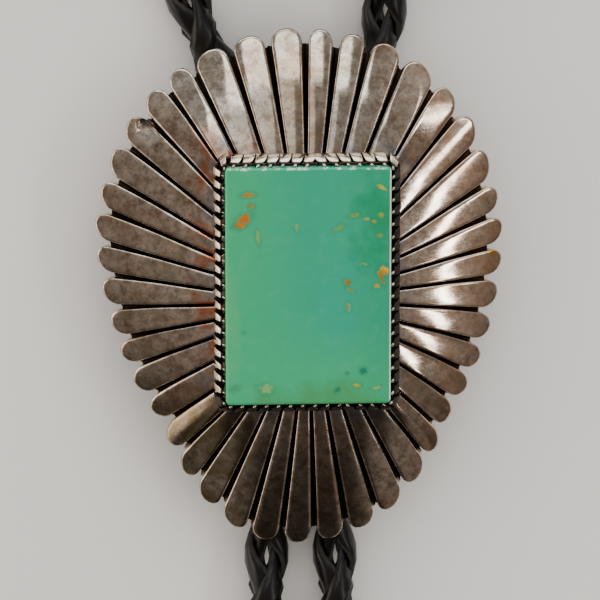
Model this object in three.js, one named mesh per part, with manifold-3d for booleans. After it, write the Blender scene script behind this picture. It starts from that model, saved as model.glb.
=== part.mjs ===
import * as THREE from 'three';
import { mergeVertices } from 'three/addons/utils/BufferGeometryUtils.js';
import Module from 'manifold-3d';

// Bolo tie, lying face up. Millimetres, +Z up, +Y towards the neck.
// The origin is on the surface that it lies on, under the middle of the silver slide.

// Silver slide, outline and plate
const SLIDE_WIDTH = 45;
const SLIDE_HEIGHT = 58.5;
const PLATE_THICKNESS = 1.6;
const DOME_DROP = 4;
const DOME_EVEN_SHARE = 0.65;
const GROOVE_DEPTH = 0.9;
const GROOVE_AT_BEZEL = 0.45;
const GROOVE_AT_RIM = 1.5;
const NOTCH_DEPTH = 1.9;
const EDGE_ROLL = 0.35;
const RIM_CLEARANCE = 0.6;

// Turquoise stone, a flat tablet with softened edges
const STONE_WIDTH = 18.4;
const STONE_HEIGHT = 26.7;
const STONE_THICKNESS = 2.5;
const STONE_EDGE = 0.3;
const STONE_CORNER = 0.5;
const STONE_RIGHT = 0.7;
const STONE_UP = 1.2;
const STONE_CLEARANCE = 0.25;

// Serrated bezel round the stone
const BEZEL_WALL = 0.85;
const BEZEL_HEIGHT = 2.45;
const BEZEL_TEETH = 69;
const TOOTH_LEAN = 0.1;
const TOOTH_SLANT = -0.28;
const SERRATION_DEPTH = 1.1;
const VALLEY_DROP = 0.35;
const CREST_DROP = 0.1;
const SOLDER_OVERLAP = 0.3;

// Across one tooth, as shares of its width: where each column stands outside and inside
const TOOTH_COLUMNS = [
  { outer: 0, inner: 0, outerDrop: VALLEY_DROP, innerDrop: SERRATION_DEPTH, lean: 0 },
  { outer: 0.14, inner: 0.3, outerDrop: CREST_DROP, innerDrop: 0, lean: TOOTH_LEAN },
  { outer: 0.86, inner: 0.7, outerDrop: CREST_DROP, innerDrop: 0, lean: TOOTH_LEAN },
];

// Leather cord and the plain guide on the back that it runs through
const CORD_DIAMETER = 5.2;
const CORD_CLEARANCE = 0.3;
const CORD_SPACING = 6.9;
const CORD_STEPS = 22;
const GUIDE_WALL = 0.8;
const GUIDE_LENGTH = 18;

// Silver tips on the two cord ends
const TIP_LENGTH = 38;
const TIP_WALL = 0.7;
const TIP_END_DIAMETER = 3;
const TIP_COLLAR_LENGTH = 3;
const TIP_COLLAR_RISE = 0.3;

// Rounded point of a tip: radius and distance from the very end, as shares of the end's radius
const TIP_POINT = [[0.87, 0.5], [0.5, 0.13]];

// Neck loop of the cord, folded into a hank, and the band that holds it
const HANK_RUN = 67;
const HANK_FOLD_RADIUS = 15.6;
const HANK_START = 37.5;
const LANE_GAP = 0.2;
const TIE_WIDTH = 6;
const TIE_THICKNESS = 0.8;
const TIE_CLEARANCE = 0.3;
const TIE_CORNER = 1.8;

// How finely round forms are cut: steps in a quarter turn, or half a turn, and sides of a tip
const GUIDE_CURVE_STEPS = 10;
const CORD_CURVE_STEPS = 5;
const CORNER_STEPS = 3;
const STONE_EDGE_STEPS = 2;
const FOLD_STEPS = 14;
const TIP_SIDES = 16;
const WELD_DISTANCE = 1e-4;

// Rows along a ray, as shares of its length, and columns across it, as shares of its width
const ROW_SHARES = [0, 0.02, 0.3, 0.55, 0.77, 0.94, 1];
const UNDERSIDE_SHARES = [1, 0.55, 0];
const ACROSS_A_RAY = [0, 'left', 0.35, 0.65, 'right'];

// Rays in fans, clockwise from the top. bezel and rim are the clock angles at which a fan starts,
// in degrees, measured with the outline squashed to a square or a circle. reach is how far the
// middle of the fan stands out, as a share of the oval SLIDE_WIDTH by SLIDE_HEIGHT.
const FANS = [
  { rays: 2, bezel: -0.4, rim: 2.0, reach: 1.000 },
  { rays: 2, bezel: 22, rim: 20.5, reach: 1.048 },
  { rays: 3, bezel: 45, rim: 41.0, reach: 1.080 },
  { rays: 3, bezel: 73, rim: 67.0, reach: 1.050 },
  { rays: 3, bezel: 94, rim: 88.0, reach: 0.982 },
  { rays: 3, bezel: 115, rim: 111.5, reach: 0.926 },
  { rays: 4, bezel: 139, rim: 136.3, reach: 1.014 },
  { rays: 4, bezel: 177, rim: 175.3, reach: 1.018 },
  { rays: 4, bezel: 213, rim: 214.5, reach: 0.868 },
  { rays: 3, bezel: 247, rim: 250.3, reach: 0.946 },
  { rays: 3, bezel: 266.5, rim: 273.8, reach: 1.045 },
  { rays: 2, bezel: 289, rim: 295.1, reach: 1.064 },
  { rays: 2, bezel: 306.5, rim: 311.6, reach: 1.046 },
  { rays: 3, bezel: 322, rim: 328.6, reach: 1.000 },
];

// Where the cord runs, chosen by hand, from each tip through the guide to the hank
const ROUTE_LEFT = [
  [-3.5, -40.2, 3.75], [-3.45, -37, 3.7], [-3.3, -31, 3.0], [-2.9, -21, 2.7], [-2.75, -12, 3.45],
  [-2.75, -7, 3.7], [-2.75, 1.2, 3.7], [-2.75, 9.4, 3.7], [-3.2, 13.5, 3.4], [-5.2, 18.2, 2.85],
  [-7.8, 22.6, 2.65], [-10.1, 27, 2.65], [-11.8, 31.5, 2.65], [-12.9, 35, 2.65], [-13.6, 38, 2.65],
];
const ROUTE_RIGHT = [
  [4.7, -40.2, 3.75], [4.65, -37, 3.7], [4.5, -31, 3.0], [4.25, -21, 2.7], [4.15, -12, 3.45],
  [4.15, -7, 3.7], [4.15, 1.2, 3.7], [4.15, 9.4, 3.7], [4.6, 13.5, 3.4], [6.4, 18.2, 2.85],
  [8.4, 22.8, 2.65], [9.6, 27, 2.65], [10.2, 31.5, 2.9], [10.7, 35, 3.9], [11.2, 38, 5.2],
];

// Worked-out heights and places
const cordRadius = CORD_DIAMETER / 2;
const channelRadius = cordRadius + CORD_CLEARANCE;
const channelHeight = GUIDE_WALL + channelRadius;
const rimUnderside = CORD_DIAMETER + RIM_CLEARANCE;
const plateUnderside = rimUnderside + DOME_DROP;
const rayPlane = plateUnderside + PLATE_THICKNESS;
const stoneCentre = new THREE.Vector2(STONE_RIGHT, STONE_UP);
const bezelMiddle = {
  x: STONE_WIDTH / 2 + STONE_CLEARANCE + BEZEL_WALL / 2,
  y: STONE_HEIGHT / 2 + STONE_CLEARANCE + BEZEL_WALL / 2,
};

const wasm = await Module();
wasm.setup();

function solidOf(geometry) {
  const bare = geometry.clone();
  bare.deleteAttribute('normal');
  bare.deleteAttribute('uv');
  const merged = mergeVertices(bare, WELD_DISTANCE);
  const vertProperties = new Float32Array(merged.attributes.position.array);
  const triVerts = new Uint32Array(merged.index.array);
  return new wasm.Manifold(new wasm.Mesh({ numProp: 3, vertProperties, triVerts }));
}

function geometryOf(solid) {
  const mesh = solid.getMesh();
  const geometry = new THREE.BufferGeometry();
  geometry.setAttribute('position', new THREE.BufferAttribute(new Float32Array(mesh.vertProperties), 3));
  geometry.setIndex(new THREE.BufferAttribute(new Uint32Array(mesh.triVerts), 1));
  return geometry;
}

function finish(name, geometry, look) {
  const flat = geometry.index ? geometry.toNonIndexed() : geometry;
  flat.computeVertexNormals();
  const mesh = new THREE.Mesh(flat, new THREE.MeshStandardMaterial(look));
  mesh.name = name;
  return mesh;
}

// A closed skin over a ring of columns. Each column is a list of points, all of one length.
// With poles, the first and last points of every column are one and the same point.
function skinOver(columns, { poles }) {
  const rows = columns[0].length;
  const positions = [];
  columns.forEach((column) => column.forEach((point) => positions.push(point.x, point.y, point.z)));
  const at = (column, row) => (column % columns.length) * rows + (row % rows);
  const indices = [];
  const rowSteps = poles ? rows - 1 : rows;
  for (let c = 0; c < columns.length; c += 1) {
    for (let r = 0; r < rowSteps; r += 1) {
      const [a, b, d, e] = [at(c, r), at(c + 1, r), at(c + 1, r + 1), at(c, r + 1)];
      if (!(poles && r === 0)) indices.push(a, b, d);
      if (!(poles && r === rowSteps - 1)) indices.push(a, d, e);
    }
  }
  const geometry = new THREE.BufferGeometry();
  geometry.setAttribute('position', new THREE.Float32BufferAttribute(positions, 3));
  geometry.setIndex(indices);
  return geometry;
}

const rayCount = FANS.reduce((sum, fan) => sum + fan.rays, 0);

// How far the rim stands out at a ray, evened between the middles of the fans
function reachAt(ray) {
  let first = 0;
  const middles = FANS.map((fan) => {
    first += fan.rays;
    return first - fan.rays / 2;
  });
  const place = ray < middles[0] ? ray + rayCount : ray;
  const from = middles.findLastIndex((middle) => middle <= place);
  const to = (from + 1) % FANS.length;
  const span = middles[to] - middles[from] + (to === 0 ? rayCount : 0);
  return THREE.MathUtils.lerp(FANS[from].reach, FANS[to].reach, (place - middles[from]) / span);
}

// Groove lines, one on the near side of every ray, with the clock angles of their two ends
function grooveLines() {
  return FANS.flatMap((fan, f) => {
    const last = f === FANS.length - 1;
    const next = last ? FANS[0] : FANS[f + 1];
    const turn = last ? 360 : 0;
    return Array.from({ length: fan.rays }, (_, k) => ({
      bezel: THREE.MathUtils.lerp(fan.bezel, next.bezel + turn, k / fan.rays),
      rim: THREE.MathUtils.lerp(fan.rim, next.rim + turn, k / fan.rays),
    }));
  });
}

// The place on the middle of the bezel wall at a clock angle
function bezelPoint(clock) {
  const angle = THREE.MathUtils.degToRad(clock);
  const side = Math.max(Math.abs(Math.sin(angle)), Math.abs(Math.cos(angle)));
  return new THREE.Vector2(
    stoneCentre.x + bezelMiddle.x * Math.sin(angle) / side,
    stoneCentre.y + bezelMiddle.y * Math.cos(angle) / side,
  );
}

function rimPoint(clock, reach) {
  const angle = THREE.MathUtils.degToRad(clock);
  return new THREE.Vector2(
    SLIDE_WIDTH / 2 * reach * Math.sin(angle),
    SLIDE_HEIGHT / 2 * reach * Math.cos(angle),
  );
}

// The dome falls from the bezel to the rim, DOME_EVEN_SHARE of it evenly and the rest faster and faster
function domeHeight(along) {
  return rayPlane - DOME_DROP * (DOME_EVEN_SHARE * along + (1 - DOME_EVEN_SHARE) * along ** 2);
}

// The domed plate: every ray is a flat-topped strip with a rounded end between two chiselled grooves
function rayPlate() {
  const lines = grooveLines();
  const columns = [];
  lines.forEach((line, i) => {
    const turn = i === lines.length - 1 ? 360 : 0;
    const next = lines[(i + 1) % lines.length];
    const clockAt = (key, across) => THREE.MathUtils.lerp(line[key], next[key] + turn, across);
    const rayWidth = rimPoint(line.rim, reachAt(i)).distanceTo(rimPoint(next.rim, reachAt(i + 1)));
    ACROSS_A_RAY.forEach((place) => {
      const inGroove = place === 0;
      const shareAt = (along) => {
        if (typeof place === 'number') return place;
        const start = bezelPoint(line.bezel).distanceTo(bezelPoint(next.bezel));
        const wide = THREE.MathUtils.lerp(start, rayWidth, along);
        const half = THREE.MathUtils.lerp(GROOVE_AT_BEZEL, GROOVE_AT_RIM, along) / 2;
        return place === 'left' ? half / wide : 1 - half / wide;
      };
      const pointAt = (along, height) => {
        const across = shareAt(along);
        const inner = bezelPoint(clockAt('bezel', across));
        const outer = rimPoint(clockAt('rim', across), reachAt(i + across));
        const length = inner.distanceTo(outer);
        const offMiddle = Math.abs(2 * across - 1);
        const cut = NOTCH_DEPTH * (1 - Math.sqrt(1 - Math.min(offMiddle, 1) ** 2));
        const share = along * (1 - cut / length);
        const flat = inner.lerp(outer, share);
        return new THREE.Vector3(flat.x, flat.y, height(share));
      };
      const column = [new THREE.Vector3(stoneCentre.x, stoneCentre.y, rayPlane)];
      ROW_SHARES.forEach((along, row) => {
        const cut = inGroove && row > 0 ? GROOVE_DEPTH : 0;
        const roll = !inGroove && along === 1 ? EDGE_ROLL : 0;
        column.push(pointAt(along, (share) => domeHeight(share) - cut - roll));
      });
      UNDERSIDE_SHARES.forEach((along) => {
        column.push(pointAt(along, (share) => domeHeight(share) - PLATE_THICKNESS));
      });
      column.push(new THREE.Vector3(stoneCentre.x, stoneCentre.y, plateUnderside));
      columns.push(column);
    });
  });
  return solidOf(skinOver(columns, { poles: true }));
}

// Point and outward direction on a rectangle with rounded corners, at a share of its way round
function onRoundedRectangle(halfX, halfY, corner, share) {
  const straightX = 2 * (halfX - corner);
  const straightY = 2 * (halfY - corner);
  const arc = corner * Math.PI / 2;
  const sides = [
    { length: straightX, from: [-halfX + corner, halfY], turn: 90 },
    { length: straightY, from: [halfX, halfY - corner], turn: 0 },
    { length: straightX, from: [halfX - corner, -halfY], turn: -90 },
    { length: straightY, from: [-halfX, -halfY + corner], turn: -180 },
  ];
  const around = 2 * (straightX + straightY) + 4 * arc;
  let left = (((share % 1) + 1) % 1) * around;
  for (const side of sides) {
    const normal = THREE.MathUtils.degToRad(side.turn);
    const out = new THREE.Vector2(Math.cos(normal), Math.sin(normal));
    const on = new THREE.Vector2(out.y, -out.x);
    const start = new THREE.Vector2(...side.from);
    if (left <= side.length) return { point: start.addScaledVector(on, left), out };
    left -= side.length;
    const end = start.addScaledVector(on, side.length);
    if (left <= arc) {
      const centre = end.addScaledVector(out, -corner);
      const turned = out.clone().rotateAround(new THREE.Vector2(), -left / corner);
      return { point: centre.addScaledVector(turned, corner), out: turned };
    }
    left -= arc;
  }
  return onRoundedRectangle(halfX, halfY, corner, 0);
}

// The bezel: a wall cut into slanted teeth that lean in over the stone's edge
function serratedBezel() {
  const corner = STONE_CORNER + STONE_CLEARANCE + BEZEL_WALL / 2;
  const top = rayPlane + BEZEL_HEIGHT;
  const bottom = rayPlane - SOLDER_OVERLAP;
  const columns = [];
  for (let tooth = 0; tooth < BEZEL_TEETH; tooth += 1) {
    TOOTH_COLUMNS.forEach((step) => {
      const on = (across, offset, z) => {
        const share = (tooth + across) / BEZEL_TEETH;
        const place = onRoundedRectangle(bezelMiddle.x, bezelMiddle.y, corner, share);
        const flat = place.point.addScaledVector(place.out, offset).add(stoneCentre);
        return new THREE.Vector3(flat.x, flat.y, z);
      };
      columns.push([
        on(step.outer, BEZEL_WALL / 2, bottom),
        on(step.inner + TOOTH_SLANT, -BEZEL_WALL / 2, bottom),
        on(step.inner + TOOTH_SLANT, -BEZEL_WALL / 2 - step.lean, top - step.innerDrop),
        on(step.outer, BEZEL_WALL / 2, top - step.outerDrop),
      ]);
    });
  }
  return solidOf(skinOver(columns, { poles: false }));
}

// The guide on the back: a plain block with two channels for the cord, soldered under the plate
function cordGuide() {
  const halfWidth = CORD_SPACING / 2 + channelRadius + GUIDE_WALL;
  const height = plateUnderside + SOLDER_OVERLAP;
  const section = new THREE.Shape();
  const round = GUIDE_WALL;
  section.moveTo(-halfWidth + round, 0);
  section.lineTo(halfWidth - round, 0);
  section.absarc(halfWidth - round, round, round, -Math.PI / 2, 0);
  section.lineTo(halfWidth, height);
  section.lineTo(-halfWidth, height);
  section.lineTo(-halfWidth, round);
  section.absarc(-halfWidth + round, round, round, Math.PI, 1.5 * Math.PI);
  for (const side of [-1, 1]) {
    const channel = new THREE.Path();
    channel.absarc(side * CORD_SPACING / 2, channelHeight, channelRadius, 0, 2 * Math.PI, true);
    section.holes.push(channel);
  }
  const geometry = new THREE.ExtrudeGeometry(section, {
    depth: GUIDE_LENGTH, bevelEnabled: false, curveSegments: GUIDE_CURVE_STEPS,
  });
  geometry.rotateX(Math.PI / 2);
  geometry.translate(stoneCentre.x, stoneCentre.y + GUIDE_LENGTH / 2, 0);
  return solidOf(geometry);
}

function sunburstSlide() {
  return geometryOf(rayPlate().add(serratedBezel()).add(cordGuide()));
}

function roundedRectangle(width, height, corner) {
  const shape = new THREE.Shape();
  const [x, y] = [width / 2 - corner, height / 2 - corner];
  shape.absarc(x, y, corner, 0, Math.PI / 2);
  shape.absarc(-x, y, corner, Math.PI / 2, Math.PI);
  shape.absarc(-x, -y, corner, Math.PI, 1.5 * Math.PI);
  shape.absarc(x, -y, corner, 1.5 * Math.PI, 2 * Math.PI);
  return shape;
}

function turquoiseStone() {
  const outline = roundedRectangle(
    STONE_WIDTH - 2 * STONE_EDGE, STONE_HEIGHT - 2 * STONE_EDGE, STONE_CORNER - STONE_EDGE,
  );
  const geometry = new THREE.ExtrudeGeometry(outline, {
    depth: STONE_THICKNESS - 2 * STONE_EDGE,
    bevelThickness: STONE_EDGE,
    bevelSize: STONE_EDGE,
    bevelSegments: STONE_EDGE_STEPS,
    curveSegments: CORNER_STEPS,
  });
  geometry.translate(stoneCentre.x, stoneCentre.y, rayPlane + STONE_CLEARANCE + STONE_EDGE);
  return geometry;
}

// A cord stretch: a round section drawn along its chosen points
function cordTube(route) {
  const section = new THREE.Shape();
  section.absarc(0, 0, cordRadius, 0, 2 * Math.PI);
  const points = route.map((point) => new THREE.Vector3(...point));
  const path = new THREE.CatmullRomCurve3(points, false, 'centripetal');
  return new THREE.ExtrudeGeometry(section, {
    steps: CORD_STEPS, bevelEnabled: false, extrudePath: path, curveSegments: CORD_CURVE_STEPS,
  });
}

// A tip: a plain tapered ferrule with a collar, lying on the surface on its side
function cordTip(start) {
  const mouth = cordRadius + TIP_WALL;
  const end = TIP_END_DIAMETER / 2;
  const collar = mouth + TIP_COLLAR_RISE;
  const profile = [
    [0, 0], [collar, 0], [collar, TIP_COLLAR_LENGTH], [mouth, TIP_COLLAR_LENGTH + TIP_COLLAR_RISE],
    [end, TIP_LENGTH - end],
    ...TIP_POINT.map(([radius, back]) => [end * radius, TIP_LENGTH - end * back]),
    [0, TIP_LENGTH],
  ];
  const outline = profile.map((point) => new THREE.Vector2(...point));
  const geometry = new THREE.LatheGeometry(outline, TIP_SIDES);
  const slope = Math.atan2(collar - end, TIP_LENGTH - end - TIP_COLLAR_LENGTH);
  const mouthHeight = collar * Math.cos(slope) + TIP_COLLAR_LENGTH * Math.sin(slope);
  geometry.rotateX(Math.PI + slope);
  geometry.translate(start[0], start[1] - CORD_CLEARANCE - collar * Math.sin(slope), mouthHeight);
  return geometry;
}

// The hank: two turns side by side on the surface and one turn on top of them, as one outer shape
const lanePitch = CORD_DIAMETER + LANE_GAP;
const hankOuter = HANK_FOLD_RADIUS + lanePitch + cordRadius;
const hankInner = HANK_FOLD_RADIUS - cordRadius;
const topLayerRise = Math.sqrt(CORD_DIAMETER ** 2 - (lanePitch / 2) ** 2);
const hankHeight = CORD_DIAMETER + topLayerRise;
const hankMiddle = HANK_START + hankOuter + HANK_RUN / 2;
const tieNotch = TIE_THICKNESS + TIE_CLEARANCE;

function stadium(shape, radius) {
  shape.absarc(0, HANK_RUN / 2, radius, 0, Math.PI);
  shape.absarc(0, -HANK_RUN / 2, radius, Math.PI, 2 * Math.PI);
  return shape;
}

function neckHank() {
  const outline = stadium(new THREE.Shape(), hankOuter);
  outline.holes.push(stadium(new THREE.Path(), hankInner));
  const hank = new THREE.ExtrudeGeometry(outline, {
    depth: hankHeight, bevelEnabled: false, curveSegments: FOLD_STEPS,
  });
  hank.translate(0, hankMiddle, 0);
  const notchWidth = 2 * (hankOuter + TIE_CLEARANCE);
  const notch = new THREE.BoxGeometry(notchWidth, TIE_WIDTH + 2 * TIE_CLEARANCE, 2 * tieNotch);
  notch.translate(0, hankMiddle, 0);
  return geometryOf(solidOf(hank).subtract(solidOf(notch)));
}

function hankTie() {
  const innerWidth = 2 * (hankOuter + TIE_CLEARANCE);
  const innerHeight = hankHeight + TIE_CLEARANCE - TIE_THICKNESS;
  const outerWidth = innerWidth + 2 * TIE_THICKNESS;
  const outer = roundedRectangle(outerWidth, innerHeight + 2 * TIE_THICKNESS, TIE_CORNER);
  const inner = roundedRectangle(innerWidth, innerHeight, TIE_CORNER - TIE_THICKNESS);
  outer.holes.push(new THREE.Path(inner.getPoints(CORNER_STEPS)));
  const geometry = new THREE.ExtrudeGeometry(outer, {
    depth: TIE_WIDTH, bevelEnabled: false, curveSegments: CORNER_STEPS,
  });
  geometry.rotateX(Math.PI / 2);
  geometry.translate(0, hankMiddle + TIE_WIDTH / 2, innerHeight / 2 + TIE_THICKNESS);
  return geometry;
}

const SILVER = { color: 0xa8958a, roughness: 0.32, metalness: 1 };
const TURQUOISE = { color: 0x53a086, roughness: 0.25, metalness: 0 };
const LEATHER = { color: 0x14120f, roughness: 0.4, metalness: 0 };

const bolo = new THREE.Group();
bolo.add(finish('sunburst_slide', sunburstSlide(), SILVER));
bolo.add(finish('turquoise_stone', turquoiseStone(), TURQUOISE));
bolo.add(finish('cord_left', cordTube(ROUTE_LEFT), LEATHER));
bolo.add(finish('cord_right', cordTube(ROUTE_RIGHT), LEATHER));
bolo.add(finish('cord_neck_hank', neckHank(), LEATHER));
bolo.add(finish('hank_tie', hankTie(), LEATHER));
bolo.add(finish('tip_left', cordTip(ROUTE_LEFT[0]), SILVER));
bolo.add(finish('tip_right', cordTip(ROUTE_RIGHT[0]), SILVER));

export default bolo;
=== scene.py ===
# %% [markdown]
# # Bolo tie: a silver sunburst slide on a braided leather cord
# The CAD part gives every solid its place and its size. This lesson dresses it: each visible
# piece is modelled again with the detail that the real one shows, and gets a finish of its own.
# One frame is shared with the CAD: metres, +Z up, +Y towards the neck, origin on the table.

# %% Load the fixed frame
import math

import bmesh
import bpy
import numpy as np
from mathutils import Matrix, Vector


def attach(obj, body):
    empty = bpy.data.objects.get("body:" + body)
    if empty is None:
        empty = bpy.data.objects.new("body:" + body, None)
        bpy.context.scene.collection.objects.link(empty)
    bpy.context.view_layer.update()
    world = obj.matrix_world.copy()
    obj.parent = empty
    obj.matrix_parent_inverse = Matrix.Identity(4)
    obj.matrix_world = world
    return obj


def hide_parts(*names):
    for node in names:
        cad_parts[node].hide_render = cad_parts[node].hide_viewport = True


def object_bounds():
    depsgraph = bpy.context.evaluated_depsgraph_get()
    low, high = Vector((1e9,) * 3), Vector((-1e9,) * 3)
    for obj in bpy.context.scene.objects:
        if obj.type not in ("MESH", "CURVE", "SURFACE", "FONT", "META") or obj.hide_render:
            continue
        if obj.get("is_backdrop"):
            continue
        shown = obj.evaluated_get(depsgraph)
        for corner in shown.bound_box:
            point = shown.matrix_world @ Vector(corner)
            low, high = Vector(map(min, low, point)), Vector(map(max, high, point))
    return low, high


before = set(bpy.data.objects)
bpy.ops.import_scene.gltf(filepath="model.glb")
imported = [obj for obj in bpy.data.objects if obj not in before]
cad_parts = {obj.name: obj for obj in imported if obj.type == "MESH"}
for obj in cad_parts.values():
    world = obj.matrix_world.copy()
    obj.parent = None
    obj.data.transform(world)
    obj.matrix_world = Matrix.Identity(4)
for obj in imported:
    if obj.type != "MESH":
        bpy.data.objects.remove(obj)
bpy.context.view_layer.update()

# %% [markdown]
# ## The camera
# A jeweller's portrait is taken from far away with a long lens, so that near and far edges keep
# their sizes. The lens leans a little towards the neck and to the left, so the upper and left
# walls of the bezel hide, and the far walls show. The camera is built from its own three axes.

# %% Camera
VIEW_SCALE = 0.1115
VIEW_TILT = math.radians(11)
VIEW_SIDE = math.radians(4)
VIEW_DISTANCE = 450
VIEW_TARGET = Vector((-0.06, -0.81, 11.4))
PICTURE_SIZE = 600

view_right = Vector((math.cos(VIEW_SIDE), 0, math.sin(VIEW_SIDE)))
view_back = view_right.cross(Vector((0, math.cos(VIEW_TILT), -math.sin(VIEW_TILT)))).normalized()
view_up = view_back.cross(view_right)
camera_data = bpy.data.cameras.new("portrait_camera")
camera_data.lens = camera_data.sensor_width * VIEW_DISTANCE / (PICTURE_SIZE * VIEW_SCALE)
camera = bpy.data.objects.new("portrait_camera", camera_data)
bpy.context.scene.collection.objects.link(camera)
camera_place = (VIEW_TARGET + VIEW_DISTANCE * view_back) / 1000
camera.matrix_world = Matrix.Translation(camera_place) @ Matrix(
    (view_right, view_up, view_back)).transposed().to_4x4()
bpy.context.scene.camera = camera
print("lens, mm:", round(camera_data.lens))

# %% [markdown]
# ## The leather cord
# The cord is one length of 4-strand round braid. It runs twice through the guide on the back of
# the slide, and its two ends wear silver tips. The neck loop is folded into a flat hank, two
# turns on the table and one on top of them. First comes the line that the cord follows.

# %% Route of the cord, in mm, from each tip through the guide to the hank
CHANNEL_PLACES = (-2.75, 4.15)
CHANNEL_HEIGHT = 3.7
TIP_PLACES = (-3.5, 4.7)
CORD_END_Y = -40.2
ROUTE_LEFT = [
    (TIP_PLACES[0], CORD_END_Y, 3.75), (-3.45, -37, 3.7), (-3.3, -31, 3.0), (-2.9, -21, 2.7),
    (-2.75, -12, 3.45), (-2.75, -7, 3.7), (-2.75, 1.2, 3.7), (-2.75, 9.4, 3.7),
    (-3.2, 13.5, 3.4), (-5.2, 18.2, 2.85), (-7.8, 22.6, 2.65), (-10.1, 27, 2.65),
    (-11.8, 31.5, 2.65), (-12.9, 35, 2.65), (-13.6, 38, 2.65),
]
ROUTE_RIGHT = [
    (TIP_PLACES[1], CORD_END_Y, 3.75), (4.65, -37, 3.7), (4.5, -31, 3.0), (4.25, -21, 2.7),
    (4.15, -12, 3.45), (4.15, -7, 3.7), (4.15, 1.2, 3.7), (4.15, 9.4, 3.7),
    (4.6, 13.5, 3.4), (6.4, 18.2, 2.85), (8.4, 22.8, 2.65), (9.6, 27, 2.65),
    (10.2, 31.5, 2.9), (10.7, 35, 3.9), (11.2, 38, 5.2),
]
IN_THE_GUIDE = 6

# %% Route of the hank: how far each turn lies from the middle line, and how high
HANK_MIDDLE = 94.6
HANK_HALF_RUN = 33.5
OUTER_LANE, INNER_LANE, UPPER_LANE = 21.0, 15.6, 18.3
ON_TABLE = 2.65
ON_TURNS = 7.2


def straight(lane, height, side, lift):
    """One long side, from the bottom to the top. The cord rises by lift where the tie passes under."""
    rises = [
        (-1, 0), (-0.7, 0), (-0.35, 0.1), (-0.18, 0.7), (0, 1), (0.18, 0.7), (0.35, 0.1), (0.7, 0), (1, 0)]
    return [(side * lane, HANK_MIDDLE + HANK_HALF_RUN * y, height + lift * rise) for y, rise in rises]


def fold(lane_from, lane_to, end, heights):
    """A half turn from the right side at the bottom, or from the left side at the top."""
    points = []
    for k, height in enumerate(heights[1:-1], 1):
        share = k / (len(heights) - 1)
        lane = lane_from + (lane_to - lane_from) * share * share * (3 - 2 * share)
        along = math.cos(math.pi * share)
        beyond = math.sin(math.pi * share)
        points.append((-end * lane * along, HANK_MIDDLE + end * (HANK_HALF_RUN + lane * beyond), height))
    return points


TABLE_FOLD = [ON_TABLE] * 10
UPPER_FOLD = [ON_TURNS] * 10
CLIMBING_FOLD = [5.6, 6.5, 7.2, 7.7, 7.95, 8.0, 8.0, 7.8, 7.5, ON_TURNS]
LEG_IN = [(-13.6, 38, 2.65), (-16.2, 44, 2.65), (-18.8, 50.5, 2.65), (-20.5, 56.2, 2.65)]
CLIMBING_SIDE = [(15.6, 84, 2.75), (15.6, 78, 3.15), (15.6, 72, 3.85), (15.6, 66.5, 4.7), (15.6, 61.1, 5.6)]
LEG_OUT = [
    (19.3, 86, 7.45), (20.5, 79, 7.75), (21.0, 70, 7.9), (20.7, 61, 7.9), (19.5, 54.8, 7.95),
    (17.5, 49.7, 8.0), (15.1, 45.3, 8.0), (13.0, 41.7, 7.2), (11.7, 38.4, 5.6), (11.0, 35.2, 4.1),
]

hank_route = (
    LEG_IN
    + straight(OUTER_LANE, ON_TABLE, -1, 0.8)
    + fold(OUTER_LANE, OUTER_LANE, 1, TABLE_FOLD)
    + straight(OUTER_LANE, ON_TABLE, 1, 0.8)[::-1]
    + fold(OUTER_LANE, INNER_LANE, -1, TABLE_FOLD)
    + straight(INNER_LANE, ON_TABLE, -1, 0.8)
    + fold(INNER_LANE, INNER_LANE, 1, TABLE_FOLD)
    + straight(INNER_LANE, ON_TABLE, 1, 0.8)[:2:-1]
    + CLIMBING_SIDE
    + fold(INNER_LANE, UPPER_LANE, -1, CLIMBING_FOLD)
    + straight(UPPER_LANE, ON_TURNS, -1, 0.2)
    + fold(UPPER_LANE, UPPER_LANE, 1, UPPER_FOLD)
    + straight(UPPER_LANE, ON_TURNS, 1, 0.2)[:3:-1]
    + LEG_OUT
)

# %% One smooth line through chosen points, cut into even steps
LINE_STEP = 1.25


def smooth_line(points, step=LINE_STEP):
    """Points at even steps on a curve that passes through all the given ones, in mm."""
    given = np.array(points, float)
    knots = np.concatenate([[0], np.cumsum(np.linalg.norm(np.diff(given, axis=0), axis=1))])
    slopes = np.gradient(given, knots, axis=0)
    places = []
    for i in range(len(given) - 1):
        gap = knots[i + 1] - knots[i]
        u = np.linspace(0, 1, 24, endpoint=False)[:, None]
        places.append(
            (1 + 2 * u) * (1 - u) ** 2 * given[i]
            + u * (1 - u) ** 2 * gap * slopes[i]
            + u * u * (3 - 2 * u) * given[i + 1]
            + u * u * (u - 1) * gap * slopes[i + 1]
        )
    fine = np.concatenate([*places, given[-1:]])
    along = np.concatenate([[0], np.cumsum(np.linalg.norm(np.diff(fine, axis=0), axis=1))])
    count = max(2, round(along[-1] / step) + 1)
    even = np.linspace(0, along[-1], count)
    return np.stack([np.interp(even, along, fine[:, k]) for k in range(3)], axis=1)


def length_of(line):
    return float(np.linalg.norm(np.diff(line, axis=0), axis=1).sum())


INTO_TIP = 5
left_line = smooth_line(
    ROUTE_LEFT[IN_THE_GUIDE::-1] + [(TIP_PLACES[0], CORD_END_Y - INTO_TIP, 3.7)])
right_line = smooth_line(
    ROUTE_RIGHT[IN_THE_GUIDE::-1] + [(TIP_PLACES[1], CORD_END_Y - INTO_TIP, 3.7)])
neck_line = smooth_line(
    ROUTE_LEFT[IN_THE_GUIDE:-1] + hank_route + ROUTE_RIGHT[-3:IN_THE_GUIDE - 1:-1])
print("cord, mm:", [round(length_of(line)) for line in (left_line, neck_line, right_line)])

# %% [markdown]
# Each lace of the braid is a flat black strip about 3 mm wide. Two laces wind to the right and
# two to the left, and each goes over one and under the next: its distance from the middle of the
# cord swings once in every half turn. A modifier could array one crossing along a curve, but the
# laces would stretch in the folds, so the strips are laid point by point along the line.

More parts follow.
